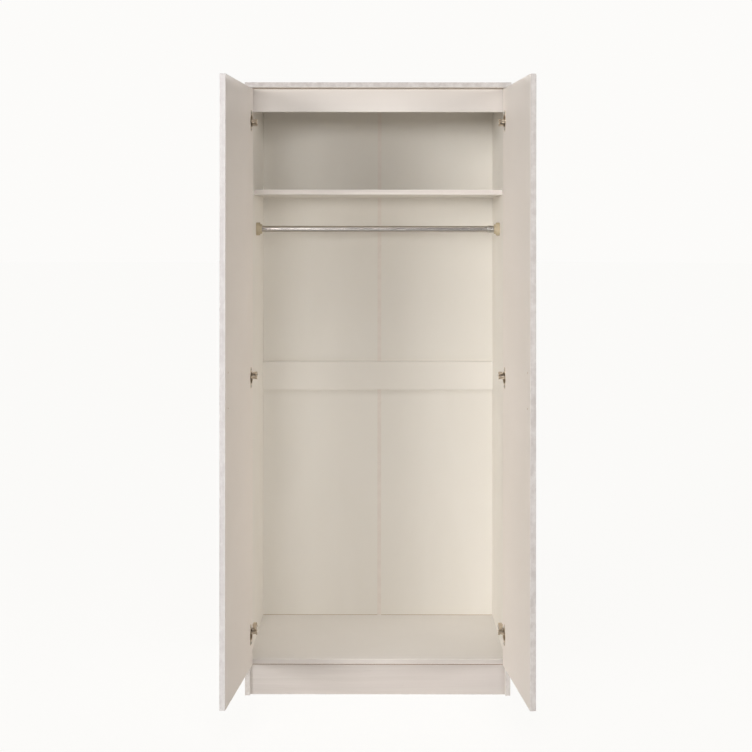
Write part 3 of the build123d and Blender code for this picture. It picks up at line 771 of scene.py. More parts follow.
class Effects:
    """The shared effects, each a node group that is built once."""

    def __init__(self) -> None:
        """Build every group."""
        self.mottle = self._mottle()
        self.grain = self._grain()
        self.wear = self._wear()
        self.chips = self._chips()
        self.brushing = self._brushing()
        self.marks = self._marks()

    @staticmethod
    def _mottle() -> Tree:
        """Broad clouds of tone, and the fine pressed texture of a foil.

        Returns:
            The group, with outputs Cloud and Texture.
        """
        tree, g, given, out = group("foil_mottle", [("Vector", "Vector", 0), ("Cloud", "Float", 3.0),
                                                    ("Texture", "Float", 900.0)], ["Cloud", "Texture"])
        broad = g.noise(given["Vector"], given["Cloud"], 3.0, 0.55, 0.4)
        fine = g.noise(given["Vector"], given["Texture"], 4.0, 0.65)
        tree.links.new(g.band(broad, 0.3, 0.7), out.inputs["Cloud"])
        tree.links.new(fine, out.inputs["Texture"])
        return tree

    @staticmethod
    def _grain() -> Tree:
        """Printed whitewashed wood: long soft streaks, and short dark pores.

        Returns:
            The group, with outputs Streak, Pore and Blush.
        """
        tree, g, given, out = group("washed_grain", [("Vector", "Vector", 0), ("Width", "Float", 1.0),
                                                     ("Pores", "Float", 0.5)], ["Streak", "Pore", "Blush"])
        streak = g.noise(given["Vector"], given["Width"], 6.0, 0.62, 0.9)
        wide = g.times(given["Width"], 0.21)
        blush = g.noise(given["Vector"], wide, 3.0, 0.5, 0.6)
        short = g.times(given["Width"], 4.3)
        pore = g.noise(given["Vector"], short, 5.0, 0.7, 0.3)
        edge = g.sum("SUBTRACT", 0.72, g.times(given["Pores"], 0.12))
        tree.links.new(g.band(streak, 0.3, 0.7), out.inputs["Streak"])
        tree.links.new(g.band(pore, edge, g.sum("ADD", edge, 0.07)), out.inputs["Pore"])
        tree.links.new(g.band(blush, 0.35, 0.65), out.inputs["Blush"])
        return tree

    @staticmethod
    def _wear() -> Tree:
        """Rubbed patches that gather along the rim mark.

        Returns:
            The group, with output Rubbed.
        """
        tree, g, given, out = group("rim_wear", [("Vector", "Vector", 0), ("Rim", "Float", 0.0),
                                                 ("Amount", "Float", 0.5)], ["Rubbed"])
        patches = g.noise(given["Vector"], 55.0, 5.0, 0.6)
        close = g.sum("POWER", given["Rim"], 3.0)
        heat = g.times(g.times(patches, close), given["Amount"])
        tree.links.new(g.band(heat, 0.16, 0.42), out.inputs["Rubbed"])
        return tree

    @staticmethod
    def _chips() -> Tree:
        """The pressed chips of bare particle board.

        Returns:
            The group, with output Chip.
        """
        tree, g, given, out = group("pressed_chips", [("Vector", "Vector", 0), ("Size", "Float", 420.0)],
                                    ["Chip"])
        cells = g.add("TexVoronoi", {"feature": "F1"}, Vector=given["Vector"], Scale=given["Size"],
                      Randomness=1.0)
        ragged = g.noise(given["Vector"], given["Size"], 4.0, 0.7, 0.5)
        both = g.sum("ADD", cells.outputs["Distance"], ragged)
        tree.links.new(g.band(both, 0.6, 1.2), out.inputs["Chip"])
        return tree

    @staticmethod
    def _brushing() -> Tree:
        """Fine drawn lines of rolled or plated metal, and a bloom of dull patches.

        Returns:
            The group, with outputs Line and Bloom.
        """
        tree, g, given, out = group("drawn_metal", [("Vector", "Vector", 0), ("Lines", "Float", 1.0),
                                                    ("Bloom", "Float", 90.0)], ["Line", "Bloom"])
        line = g.noise(given["Vector"], given["Lines"], 4.0, 0.7)
        bloom = g.noise(given["Vector"], given["Bloom"], 3.0, 0.55, 0.3)
        tree.links.new(line, out.inputs["Line"])
        tree.links.new(g.band(bloom, 0.35, 0.7), out.inputs["Bloom"])
        return tree

    @staticmethod
    def _marks() -> Tree:
        """Smears of handling that change the gloss.

        Returns:
            The group, with output Smear.
        """
        tree, g, given, out = group("handling_marks", [("Vector", "Vector", 0), ("Size", "Float", 7.0)],
                                    ["Smear"])
        smear = g.noise(given["Vector"], given["Size"], 5.0, 0.68, 1.4)
        tree.links.new(g.band(smear, 0.42, 0.72), out.inputs["Smear"])
        return tree


def place_group(g: Graph, tree: Tree, **inputs: Value) -> bpy.types.Node:
    """Place a shared effect in a material.

    Args:
        g: the material's graph.
        tree: the effect.
        **inputs: its inputs by name.

    Returns:
        The group node.
    """
    node = g.add("Group", {"node_tree": tree})
    for key, value in inputs.items():
        if isinstance(value, Socket):
            g.tree.links.new(value, node.inputs[key])
        else:
            node.inputs[key].default_value = value
    return node


def start_material(name: str) -> tuple[Material, Graph, bpy.types.Node, Socket]:
    """A new material with its shader, and the Object coordinates.

    Args:
        name: the material's name.

    Returns:
        The material, its graph, its Principled shader and the coordinates' socket.
    """
    material = bpy.data.materials.new(name)
    material.use_nodes = True
    tree = material.node_tree
    tree.nodes.clear()
    g = Graph(tree)
    shader = g.add("BsdfPrincipled")
    output = g.add("OutputMaterial")
    tree.links.new(shader.outputs[0], output.inputs["Surface"])
    return material, g, shader, g.add("TexCoord").outputs["Object"]


def mapped(g: Graph, vector: Socket, scale: Sequence[float]) -> Socket:
    """Coordinates stretched by three factors."""
    return g.add("Mapping", Vector=vector, Scale=tuple(scale)).outputs["Vector"]


# ------------------------------------------------------------------ finishes
@dataclass(frozen=True)
class BoardFinish:
    """Foil-faced particle board: plain foil, washed-grain foil and bare chips.

    The marks rim, grained and bare on the mesh say which is where.
    """

    name: str
    lay: Lay
    plain_light: Colour = (0.885, 0.842, 0.776)
    plain_dark: Colour = (0.860, 0.817, 0.749)
    wash_light: Colour = (0.618, 0.566, 0.522)
    wash_dark: Colour = (0.560, 0.508, 0.466)
    blush: Colour = (0.610, 0.548, 0.515)
    pore: Colour = (0.30, 0.26, 0.235)
    chip_light: Colour = (0.62, 0.48, 0.32)
    chip_dark: Colour = (0.40, 0.28, 0.17)
    rubbed: Colour = (0.90, 0.88, 0.85)
    # face is a paler tone for the broad faces away from the rims: painted light that makes up for the
    # weaker light they get
    face: Colour = (0.850, 0.815, 0.770)
    face_share: float = 0.0
    gloss: float = 0.42
    wear: float = 0.8

    def make(self, effects: Effects) -> Material:
        """Build the material.

        Args:
            effects: the shared node groups.

        Returns:
            The material.
        """
        material, g, shader, coords = start_material(self.name)
        rim, grained, bare = (g.mark(name) for name in Skin.MARKS)
        mottle = place_group(g, effects.mottle, Vector=coords, Cloud=2.6, Texture=1500.0)
        grain = place_group(g, effects.grain, Vector=mapped(g, coords, self.lay.value), Width=1.0,
                            Pores=0.55)
        wear = place_group(g, effects.wear, Vector=coords, Rim=rim, Amount=self.wear)
        chips = place_group(g, effects.chips, Vector=coords, Size=420.0)
        smears = place_group(g, effects.marks, Vector=coords, Size=5.0)
        texture, streak, pore = mottle.outputs["Texture"], grain.outputs["Streak"], grain.outputs["Pore"]

        plain = g.mix(mottle.outputs["Cloud"], self.plain_dark, self.plain_light)
        plain = g.mix(g.band(texture, 0.25, 0.75, 0.0, 0.05), plain, self.plain_dark)
        washed = g.mix(streak, self.wash_dark, self.wash_light)
        washed = g.mix(g.times(grain.outputs["Blush"], 0.55), washed, self.blush)
        # Broad grained faces away from the rims drift towards the face tone: painted light
        washed = g.mix(g.times(g.sum("SUBTRACT", 1.0, rim), self.face_share), washed, self.face)
        washed = g.mix(g.times(pore, 0.45), washed, self.pore)
        chipped = g.mix(chips.outputs["Chip"], self.chip_dark, self.chip_light)
        colour = g.mix(grained, plain, washed)
        colour = g.mix(g.times(wear.outputs["Rubbed"], 0.35), colour, self.rubbed)
        colour = g.mix(bare, colour, chipped)

        rough = g.gather(self.gloss, (smears.outputs["Smear"], 0.10), (streak, g.times(grained, 0.08)),
                         (bare, 0.35))
        shader.inputs["Specular IOR Level"].default_value = 0.42
        pressed = g.times(g.gather(g.times(streak, 0.5), (pore, -0.8)), grained)
        height = g.gather(g.sum("ADD", g.times(texture, 0.25), pressed),
                          (chips.outputs["Chip"], g.times(bare, 3.0)))
        g.surface(shader, colour, rough, height, 0.5, 0.00012)
        return material


@dataclass(frozen=True)
class MetalFinish:
    """Plated steel or zinc with drawn lines and dull bloom."""

    name: str
    light: Colour
    dark: Colour
    rough: float
    stretch: Triple = (900.0, 900.0, 60.0)
    dull: float = 0.12
    lines: float = 0.00004
    rubbed: Colour = (0.86, 0.85, 0.83)

    def make(self, effects: Effects) -> Material:
        """Build the material.

        Args:
            effects: the shared node groups.

        Returns:
            The material.
        """
        material, g, shader, coords = start_material(self.name)
        brushed = place_group(g, effects.brushing, Vector=mapped(g, coords, self.stretch), Lines=1.0,
                              Bloom=0.05)
        smears = place_group(g, effects.marks, Vector=coords, Size=60.0)
        wear = place_group(g, effects.wear, Vector=coords, Rim=g.mark("rim"), Amount=0.9)
        colour = g.mix(brushed.outputs["Bloom"], self.dark, self.light)
        colour = g.mix(g.times(wear.outputs["Rubbed"], 0.4), colour, self.rubbed)
        shader.inputs["Metallic"].default_value = 1.0
        rough = g.gather(self.rough, (smears.outputs["Smear"], self.dull), (brushed.outputs["Line"], 0.06))
        g.surface(shader, colour, rough, brushed.outputs["Line"], 0.35, self.lines)
        return material


@dataclass(frozen=True)
class PlasticFinish:
    """Moulded plastic with a fine spark texture and faint flow clouds."""

    name: str
    light: Colour
    dark: Colour
    rough: float = 0.42
    texture: float = 1800.0

    def make(self, effects: Effects) -> Material:
        """Build the material.

        Args:
            effects: the shared node groups.

        Returns:
            The material.
        """
        material, g, shader, coords = start_material(self.name)
        mottle = place_group(g, effects.mottle, Vector=coords, Cloud=45.0, Texture=self.texture)
        smears = place_group(g, effects.marks, Vector=coords, Size=40.0)
        colour = g.mix(mottle.outputs["Cloud"], self.dark, self.light)
        rough = g.gather(self.rough, (smears.outputs["Smear"], 0.12))
        g.surface(shader, colour, rough, mottle.outputs["Texture"], 0.4, 0.00008)
        return material


@dataclass(frozen=True)
class BackFinish:
    """Thin hardboard: painted foil in front, bare brown fibre behind, and the same fibre on a thin front
    strip at the base as a painted shadow line.
    """

    name: str
    light: Colour = (0.876, 0.836, 0.768)
    dark: Colour = (0.847, 0.806, 0.735)
    fibre_light: Colour = (0.56, 0.42, 0.27)
    fibre_dark: Colour = (0.42, 0.29, 0.17)

    def make(self, effects: Effects) -> Material:
        """Build the material.

        Args:
            effects: the shared node groups.

        Returns:
            The material.
        """
        material, g, shader, coords = start_material(self.name)
        bare = g.mark("bare")
        mottle = place_group(g, effects.mottle, Vector=mapped(g, coords, (1.0, 1.0, 0.3)), Cloud=4.0,
                             Texture=700.0)
        fibre = place_group(g, effects.chips, Vector=mapped(g, coords, (1.0, 1.0, 0.45)), Size=900.0)
        smears = place_group(g, effects.marks, Vector=coords, Size=4.0)
        faced = g.mix(mottle.outputs["Cloud"], self.dark, self.light)
        raw = g.mix(fibre.outputs["Chip"], self.fibre_dark, self.fibre_light)
        rough = g.gather(0.44, (smears.outputs["Smear"], 0.10), (bare, 0.3))
        height = g.gather(mottle.outputs["Texture"], (fibre.outputs["Chip"], g.times(bare, 2.0)))
        g.surface(shader, g.mix(bare, faced, raw), rough, height, 0.4, 0.0001)
        return material


@dataclass(frozen=True)
class WoodFinish:
    """Turned beech of the dowels, with lengthwise fibre."""

    name: str
    light: Colour = (0.72, 0.55, 0.36)
    dark: Colour = (0.55, 0.38, 0.22)

    def make(self, effects: Effects) -> Material:
        """Build the material.

        Args:
            effects: the shared node groups.

        Returns:
            The material.
        """
        material, g, shader, coords = start_material(self.name)
        grain = place_group(g, effects.grain, Vector=mapped(g, coords, (60.0, 900.0, 900.0)),
                            Width=1.0, Pores=0.8)
        streak = grain.outputs["Streak"]
        colour = g.mix(streak, self.dark, self.light)
        colour = g.mix(g.times(grain.outputs["Pore"], 0.6), colour, self.dark)
        g.surface(shader, colour, g.band(streak, 0.0, 1.0, 0.55, 0.7), streak, 0.5, 0.0001)
        return material


class Finishes:
    """Every finish of the wardrobe, made once."""

    # Dark chips for hidden bore walls, and for the strips of the header and plinth where they stand as
    # painted shadow lines
    DARK_CHIPS_AND_SHADOW_LINE = {"chip_light": (0.36, 0.25, 0.17), "chip_dark": (0.22, 0.14, 0.09)}
    NICKEL = ((0.70, 0.60, 0.48), (0.58, 0.485, 0.375), 0.34)

    def __init__(self, effects: Effects) -> None:
        """Make the materials.

        Args:
            effects: the shared effects.
        """
        def board(name: str, lay: Lay, **tones: Colour | float) -> Material:
            """A board's foil."""
            return BoardFinish(name, lay, **tones).make(effects)

        def plastic(name: str, *tones: Colour | float) -> Material:
            """A moulded plastic."""
            return PlasticFinish(name, *tones).make(effects)

        def metal(name: str, *tones: Colour | float) -> Material:
            """A plated or rolled metal."""
            return MetalFinish(name, *tones).make(effects)

        self.upright = board("carcass_foil_upright", Lay.UPRIGHT, face_share=0.6, wear=0.55)
        self.level = board("carcass_foil_level", Lay.LEVEL, **self.DARK_CHIPS_AND_SHADOW_LINE)
        # The top's grained foil is darker than the other boards': painted shade
        self.top = board("top_foil_painted_shade", Lay.LEVEL, wash_light=(0.530, 0.484, 0.455),
                         wash_dark=(0.450, 0.407, 0.380), blush=(0.520, 0.468, 0.446), face_share=0.7,
                         wear=0.55)
        # The base's foil is paler than the other boards': painted light
        self.base = board("base_foil_painted_light", Lay.LEVEL, plain_light=(0.925, 0.890, 0.848),
                          plain_dark=(0.900, 0.865, 0.822), wash_light=(0.700, 0.642, 0.595),
                          wash_dark=(0.615, 0.560, 0.515), blush=(0.690, 0.620, 0.585))
        # The shelf's grained front edge is paler than the other boards': painted light on an edge that
        # stands in shade
        self.shelf = board("shelf_foil_painted_light", Lay.LEVEL, wash_light=(0.830, 0.765, 0.710),
                           wash_dark=(0.700, 0.640, 0.590), blush=(0.810, 0.730, 0.695))
        # The header's plain foil is darker than the other boards': painted shade
        self.header = board("header_foil_painted_shade", Lay.LEVEL, plain_light=(0.725, 0.668, 0.617),
                            plain_dark=(0.700, 0.643, 0.592), **self.DARK_CHIPS_AND_SHADOW_LINE)
        # Each door has its own grained tones: the left door paler, painted light, and the right door
        # darker, painted shade, for light that comes from the left
        doors = {Hand.LEFT: ((0.700, 0.660, 0.640), (0.580, 0.540, 0.522), (0.670, 0.615, 0.605)),
                 Hand.RIGHT: ((0.600, 0.550, 0.522), (0.490, 0.442, 0.416), (0.575, 0.510, 0.492))}
        self.doors = {hand: board("door_foil_" + hand.word, Lay.UPRIGHT, plain_light=(0.905, 0.835, 0.772),
                                  plain_dark=(0.880, 0.810, 0.745), wash_light=light, wash_dark=dark,
                                  blush=blush, face_share=0.6, wear=0.55)
                      for hand, (light, dark, blush) in doors.items()}
        self.back = BackFinish("back_hardboard").make(effects)
        self.strip = plastic("strip_plastic", (0.86, 0.79, 0.72), (0.82, 0.75, 0.68), 0.38)
        self.socket = plastic("socket_plastic", (0.54, 0.455, 0.315), (0.48, 0.395, 0.265), 0.40)
        self.chrome = metal("rod_chrome", (0.57, 0.535, 0.50), (0.53, 0.495, 0.462), 0.18,
                            (40.0, 900.0, 900.0), 0.03, 0.000006)
        self.sleeve = metal("sleeve_metal", (0.62, 0.60, 0.57), (0.50, 0.48, 0.45), 0.24,
                            (900.0, 60.0, 60.0))
        self.hinge = metal("hinge_nickel", *self.NICKEL)
        self.link = metal("link_nickel", (0.62, 0.53, 0.42), (0.50, 0.42, 0.33), 0.36)
        self.cup = metal("cup_nickel", *self.NICKEL)
        self.screw = metal("screw_zinc", (0.62, 0.60, 0.56), (0.46, 0.44, 0.41), 0.30)
        self.nail = metal("nail_steel", (0.56, 0.55, 0.53), (0.40, 0.39, 0.37), 0.34)
        self.cam = metal("cam_zinc", (0.60, 0.60, 0.60), (0.42, 0.42, 0.42), 0.40)
        self.bolt = metal("bolt_steel", (0.58, 0.56, 0.52), (0.42, 0.40, 0.37), 0.34)
        self.dowel = WoodFinish("dowel_beech").make(effects)


# ------------------------------------------------------------------ sub-assemblies
@dataclass
class Carcass:
    """The fixed boards: sides, top, base, shelf, header, cross rail and plinth."""

    finishes: Finishes
    board: float = 15.0
    rounding: float = 0.8
    groove_depth: float = 6.0
    groove_from_rear: Pair = (16.8, 20.2)
    cam_radius: float = 7.65
    cam_depth: float = 12.65
    cam_setback: float = 34.0
    cam_margin: float = 45.0
    body: str = "carcass"
    slot: str = "carcass_board"

    def build(self) -> None:
        """Build and dress every board."""
        for hand in Hand:
            self._side(hand)
        self._top()
        self._level_board("base_panel", self.finishes.base)
        self._level_board("upper_shelf", self.finishes.shelf, notch=True)
        self._upright_board("header_rail", 0.73, self.finishes.header, joint=2.2)
        self._upright_board("back_cross_rail", 0.75, self.finishes.level, notch=True)
        self._upright_board("plinth", 0.75, self.finishes.level, joint=4.2)

    def _finish(self, skin: Skin, node: str, material: Material) -> None:
        """Write one board and hand it to the frame."""
        settle(skin.write(node + "_board", material), self.body, node)

    def _side(self, hand: Hand) -> None:
        """A side panel: outline from the outer face inwards, carried upwards.

        The outline's sides are the front edge, the inner face with the back
        board's groove, the rear edge and the outer face.

        Args:
            hand: which side.
        """
        node = "side_panel_" + hand.word
        low, high = box_mm(node)
        sign = hand.value
        depth = high[1] - low[1]
        rear_low, rear_high = self.groove_from_rear
        across = [90.0, depth - 20.0 - self.cam_margin]
        station = (high[2] - low[2]) - self.cam_setback
        board = Extrusion(
            sides=rectangle(self.board, depth, self.rounding,
                            (Zone.GRAINED, Zone.PLAIN, Zone.GRAINED, Zone.GRAINED)),
            length=high[2] - low[2],
            end_zones=(Zone.GRAINED, Zone.PLAIN),
            rim_width=8.0,
            bores=[Bore(1, value, station, self.cam_radius, self.cam_depth) for value in across],
            recesses=[Recess(1, self.groove_depth, span=(depth - rear_high, depth - rear_low))],
        )
        origin = (low[0] if sign > 0 else high[0], low[1], low[2])
        skin = Skin()
        board.build(skin, Placement(origin, (sign, 0, 0), (0, 1, 0), (0, 0, 1)))
        self._finish(skin, node, self.finishes.upright)

    def _top(self) -> None:
        """The top panel: outline from the underside up, carried from left to right."""
        low, high = box_mm("top_panel")
        depth = high[1] - low[1]
        reach = self.board - self.groove_depth
        rear_low, rear_high = self.groove_from_rear
        board = Extrusion(
            sides=rectangle(depth, self.board, self.rounding,
                            (Zone.PLAIN, Zone.GRAINED, Zone.GRAINED, Zone.GRAINED)),
            length=high[0] - low[0],
            end_zones=(Zone.GRAINED, Zone.GRAINED),
            rim_width=8.0,
            recesses=[Recess(0, self.groove_depth, span=(depth - rear_high, depth - rear_low),
                             stations=(reach, high[0] - low[0] - reach))],
        )
        skin = Skin()
        board.build(skin, Placement(tuple(low), (0, 1, 0), (0, 0, 1), (1, 0, 0)))
        self._finish(skin, "top_panel", self.finishes.top)

    def _notch(self, side: int, low: float) -> Recess:
        """Clearance for the back's joining strip."""
        seam, half = 5.0 - low, 6.7
        return Recess(side, 1.0, stations=(seam - half, seam + half))

    def _level_board(self, node: str, material: Material, notch: bool = False) -> None:
        """A flat-lying board with cam bores in its underside.

        Args:
            node: the CAD node.
            material: its finish.
            notch: whether its rear edge clears the joining strip.
        """
        low, high = box_mm(node)
        depth, length = high[1] - low[1], high[0] - low[0]
        places = [(a, s) for a in (self.cam_margin, depth - self.cam_margin)
                  for s in (self.cam_setback, length - self.cam_setback)]
        board = Extrusion(
            sides=rectangle(depth, self.board, self.rounding,
                            (Zone.PLAIN, Zone.PLAIN, Zone.PLAIN, Zone.GRAINED)),
            length=length,
            end_rounding=0.2,
            bores=[Bore(0, a, s, self.cam_radius, self.cam_depth) for a, s in places],
            recesses=[self._notch(1, low[0])] if notch else [],
        )
        skin = Skin()
        board.build(skin, Placement(tuple(low), (0, 1, 0), (0, 0, 1), (1, 0, 0)))
        self._finish(skin, node, material)

    def _upright_board(self, node: str, cam_share: float, material: Material,
                       notch: bool = False, joint: float = 0.0) -> None:
        """A rail on edge with cam bores in its rear face.

        Args:
            node: the CAD node.
            cam_share: how far up the rail the cams are.
            material: its finish.
            notch: whether its rear face clears the joining strip.
            joint: width of the shallow stepped-back strip along its upper front edge, coloured as dark
                bare board: a painted shadow line under the board above it.
        """
        low, high = box_mm(node)
        height, length = high[2] - low[2], high[0] - low[0]
        recesses = [self._notch(1, low[0])] if notch else []
        # A shallow groove coloured as dark bare board: a painted shadow line under the board above
        if joint:
            recesses.append(Recess(3, 0.9, span=(self.rounding + 0.1, self.rounding + 0.1 + joint)))
        board = Extrusion(
            sides=rectangle(self.board, height, self.rounding,
                            (Zone.PLAIN, Zone.PLAIN, Zone.PLAIN,
                             Zone.GRAINED if node == "plinth" else Zone.PLAIN)),
            length=length,
            end_rounding=0.2,
            bores=[Bore(1, height * cam_share, s, self.cam_radius, self.cam_depth)
                   for s in (self.cam_setback, length - self.cam_setback)],
            recesses=recesses,
        )
        skin = Skin()
        board.build(skin, Placement(tuple(low), (0, 1, 0), (0, 0, 1), (1, 0, 0)))
        self._finish(skin, node, material)


@dataclass
class Back:
    """Two thin back boards in grooves, and the strip that joins them."""

    finishes: Finishes
    bulge: float = 0.9
    base_top: float = 108.0
    nail_levels: tuple[float, ...] = (100.5, 867.0, 1482.5)
    flange: float = 0.8
    web: float = 1.2
    body: str = "carcass"

    def build(self) -> None:
        """Build and dress the boards and the strip."""
        for hand in Hand:
            self._board("back_board_" + hand.word)
        self._strip()

    def _board(self, node: str) -> None:
        """One back board, bellied a little between its nailed lines, with a painted shadow line where it
        meets the base.

        The belly is bulge sin(pi s)^2 |sin(pi t)|^1.5, with s across the board
        and t between two nailed lines.

        Args:
            node: the CAD node.
        """
        low, high = box_mm(node)
        board = Extrusion(
            sides=rectangle(high[0] - low[0], high[1] - low[1], 0.25,
                            (Zone.PLAIN, Zone.BARE, Zone.BARE, Zone.BARE)),
            length=high[2] - low[2],
            end_rounding=0.25,
            end_zones=(Zone.BARE, Zone.BARE),
            extra_stations=(*np.arange(40.0, high[2] - low[2] - 20.0, 40.0),
                            *(np.array([-0.1, 0.0, 1.3, 1.4]) + self.base_top - low[2])),
            extra_across=dict.fromkeys((0, 2), tuple(np.arange(24.0, 370.0, 24.0))),
        )
        skin = Skin()
        board.build(skin, Placement(tuple(low), (1, 0, 0), (0, 1, 0), (0, 0, 1)))
        for number, points in enumerate(skin.points):
            # A strip 1.3 mm tall just above the base is coloured as bare brown fibre: a painted shadow
            # line in the joint
            edge = (points[:, 2] > self.base_top - 0.05) & (points[:, 2] < self.base_top + 1.35)
            skin.marks["bare"][number] = np.where(edge, 1.0, skin.marks["bare"][number])
            share = np.clip((points[:, 0] - low[0]) / (high[0] - low[0]), 0, 1)
            belly = np.zeros(len(points))
            levels = (*self.nail_levels, high[2])
            for first, last in zip(levels, levels[1:]):
                t = np.clip((points[:, 2] - first) / (last - first), 0, 1)
                belly += np.abs(np.sin(math.pi * t)) ** 1.5 * ((t > 0) & (t < 1))
            moved = points.copy()
            moved[:, 1] += self.bulge * np.sin(math.pi * share) ** 2 * belly
            skin.points[number] = moved
        settle(skin.write(node + "_panel", self.finishes.back), self.body, node)

    def _strip(self) -> None:
        """The joining strip: a lying H, carried upwards."""
        low, high = box_mm("back_joining_strip")
        width, depth = high[0] - low[0], high[1] - low[1]
        left, right = (width - self.web) / 2, (width + self.web) / 2
        corners = [(0, 0, 1), (width, 0, 1), (width, self.flange, 1), (right, self.flange, 0),
                   (right, depth - self.flange, 0), (width, depth - self.flange, 1), (width, depth, 1),
                   (0, depth, 1), (0, depth - self.flange, 1), (left, depth - self.flange, 0),
                   (left, self.flange, 0), (0, self.flange, 1)]
        board = Extrusion(
            sides=[Side((x, y), Zone.PLAIN, 0.3 * soft) for x, y, soft in corners],
            length=high[2] - low[2],
            end_rounding=0.2,
            rim_width=1.5,
        )
        skin = Skin()
        board.build(skin, Placement(tuple(low), (1, 0, 0), (0, 1, 0), (0, 0, 1)))
        piece = skin.write("joining_strip", self.finishes.strip)
        settle(piece, self.body, "back_joining_strip")


@dataclass
class Door:
    """One swinging door: a foil-faced board with hinge cup bores and handle holes.

    It is drawn closed, about the turning centre, and then swung open.
    """

    finishes: Finishes
    hand: Hand
    swing: Swing
    edge: float = -8.5
    width: float = 387.5
    inner_face: float = 13.0
    thickness: float = 16.0
    rounding: float = 0.9
    cup_across: float = 22.5
    cup_radius: float = 17.6
    cup_depth: float = 12.6
    hinge_inset: float = 96.0
    handle_inset: float = 37.0
    handle_pitch: float = 96.0
    handle_radius: float = 2.5

    def build(self) -> None:
        """Build and dress the door.

        The outline's sides are the outer face, the free edge, the inner face and
        the hinge edge.
        """
        node = "door_" + self.hand.word
        low, high = box_mm(node)
        height = high[2] - low[2]
        cups = [Bore(2, self.width - self.cup_across, station, self.cup_radius, self.cup_depth,
                     half=20.0, cuts=12)
                for station in (self.hinge_inset, height / 2, height - self.hinge_inset)]
        handles = [Bore(2, self.handle_inset, height / 2 + step * self.handle_pitch / 2,
                        self.handle_radius, 0.0, through=True, half=4.5, cuts=6)
                   for step in (-1, 1)]
        board = Extrusion(
            sides=rectangle(self.width, self.thickness, self.rounding,
                            (Zone.GRAINED, Zone.GRAINED, Zone.PLAIN, Zone.GRAINED)),
            length=height,
            end_rounding=self.rounding,
            end_zones=(Zone.GRAINED, Zone.GRAINED),
            rim_width=8.0,
            bores=cups + handles,
        )
        skin = Skin()
        origin = (self.edge, self.inner_face - self.thickness, low[2])
        board.build(skin, Placement(origin, (1, 0, 0), (0, 1, 0), (0, 0, 1)))
        skin.points = [self.swing.lay(points) for points in skin.points]
        piece = skin.write(node + "_board", self.finishes.doors[self.hand])
        settle(piece, self.hand.word + "_door", node)


# ------------------------------------------------------------------ turned, traced and bent shapes
def slot_distance(x: Array, z: Array, span: float, width: float, offset: float = 0.0) -> Array:
    """Signed distance to a slot with round ends.

    Args:
        x: coordinate across the slot.
        z: coordinate along the slot.
        span: overall length.
        width: overall width.
        offset: where its middle is on x.

    Returns:
        Distance from the slot's spine, less half its width.
    """
    reach = (span - width) / 2
    return np.hypot(x - offset, z - np.clip(z, -reach, reach)) - width / 2


def box_distance(x: Array, z: Array, low: float, high: float, half: float, rounding: float) -> Array:
    """Signed distance to a box with round corners.

    Args:
        x: coordinate between low and high.
        z: coordinate between -half and half.
        low: one side on x.
        high: the other side on x.
        half: half the box's size on z.
        rounding: radius of its corners.

    Returns:
        The length of what lies beyond the drawn-in box, less the rounding.
    """
    over_x = np.abs(x - (low + high) / 2) - (high - low) / 2 + rounding
    over_z = np.abs(z) - half + rounding
    beyond = np.hypot(np.maximum(over_x, 0), np.maximum(over_z, 0))
    return beyond + np.minimum(np.maximum(over_x, over_z), 0) - rounding


def traced(angles: Array, distance: Callable[[Array, Array], Array], reach: float = 60.0) -> Array:
    """How far an outline is from the middle, along each ray.

    Args:
        angles: the rays' angles.
        distance: signed distance of points (x, z), negative inside.
        reach: a length that is outside on every ray.

    Returns:
        The radius where the distance turns positive, by halving 40 times.
    """
    low, high = np.zeros_like(angles), np.full_like(angles, reach)
    for _ in range(40):
        middle = (low + high) / 2
        outside = distance(middle * np.cos(angles), middle * np.sin(angles)) > 0
        high = np.where(outside, middle, high)
        low = np.where(outside, low, middle)
    return low


def stacked(levels: Sequence[tuple[Array | float, float]], angles: Array) -> Array:
    """Loops of a shape whose radius changes with the ray and the level.

    Args:
        levels: a radius, or one for each ray, and a height.
        angles: the rays' angles.

    Returns:
        Array (levels, rays, 3) of (r cos a, r sin a, height).
    """
    radius = np.stack([np.broadcast_to(r, angles.shape) for r, _ in levels])
    height = np.array([h for _, h in levels])[:, None]
    return np.stack([radius * np.cos(angles), radius * np.sin(angles),
                     np.broadcast_to(height, radius.shape)], axis=-1)


def drawn_in(outline: Array, inset: float) -> Array:
    """An outline moved inwards along its own normals.

    Args:
        outline: array (n, 2), anticlockwise.
        inset: how far.

    Returns:
        Array (n, 2); the normal is the central difference turned a quarter.
    """
    run = np.roll(outline, -1, axis=0) - np.roll(outline, 1, axis=0)
    run = run / np.maximum(np.linalg.norm(run, axis=1, keepdims=True), 1e-9)
    return outline + inset * np.stack([-run[:, 1], run[:, 0]], axis=1)


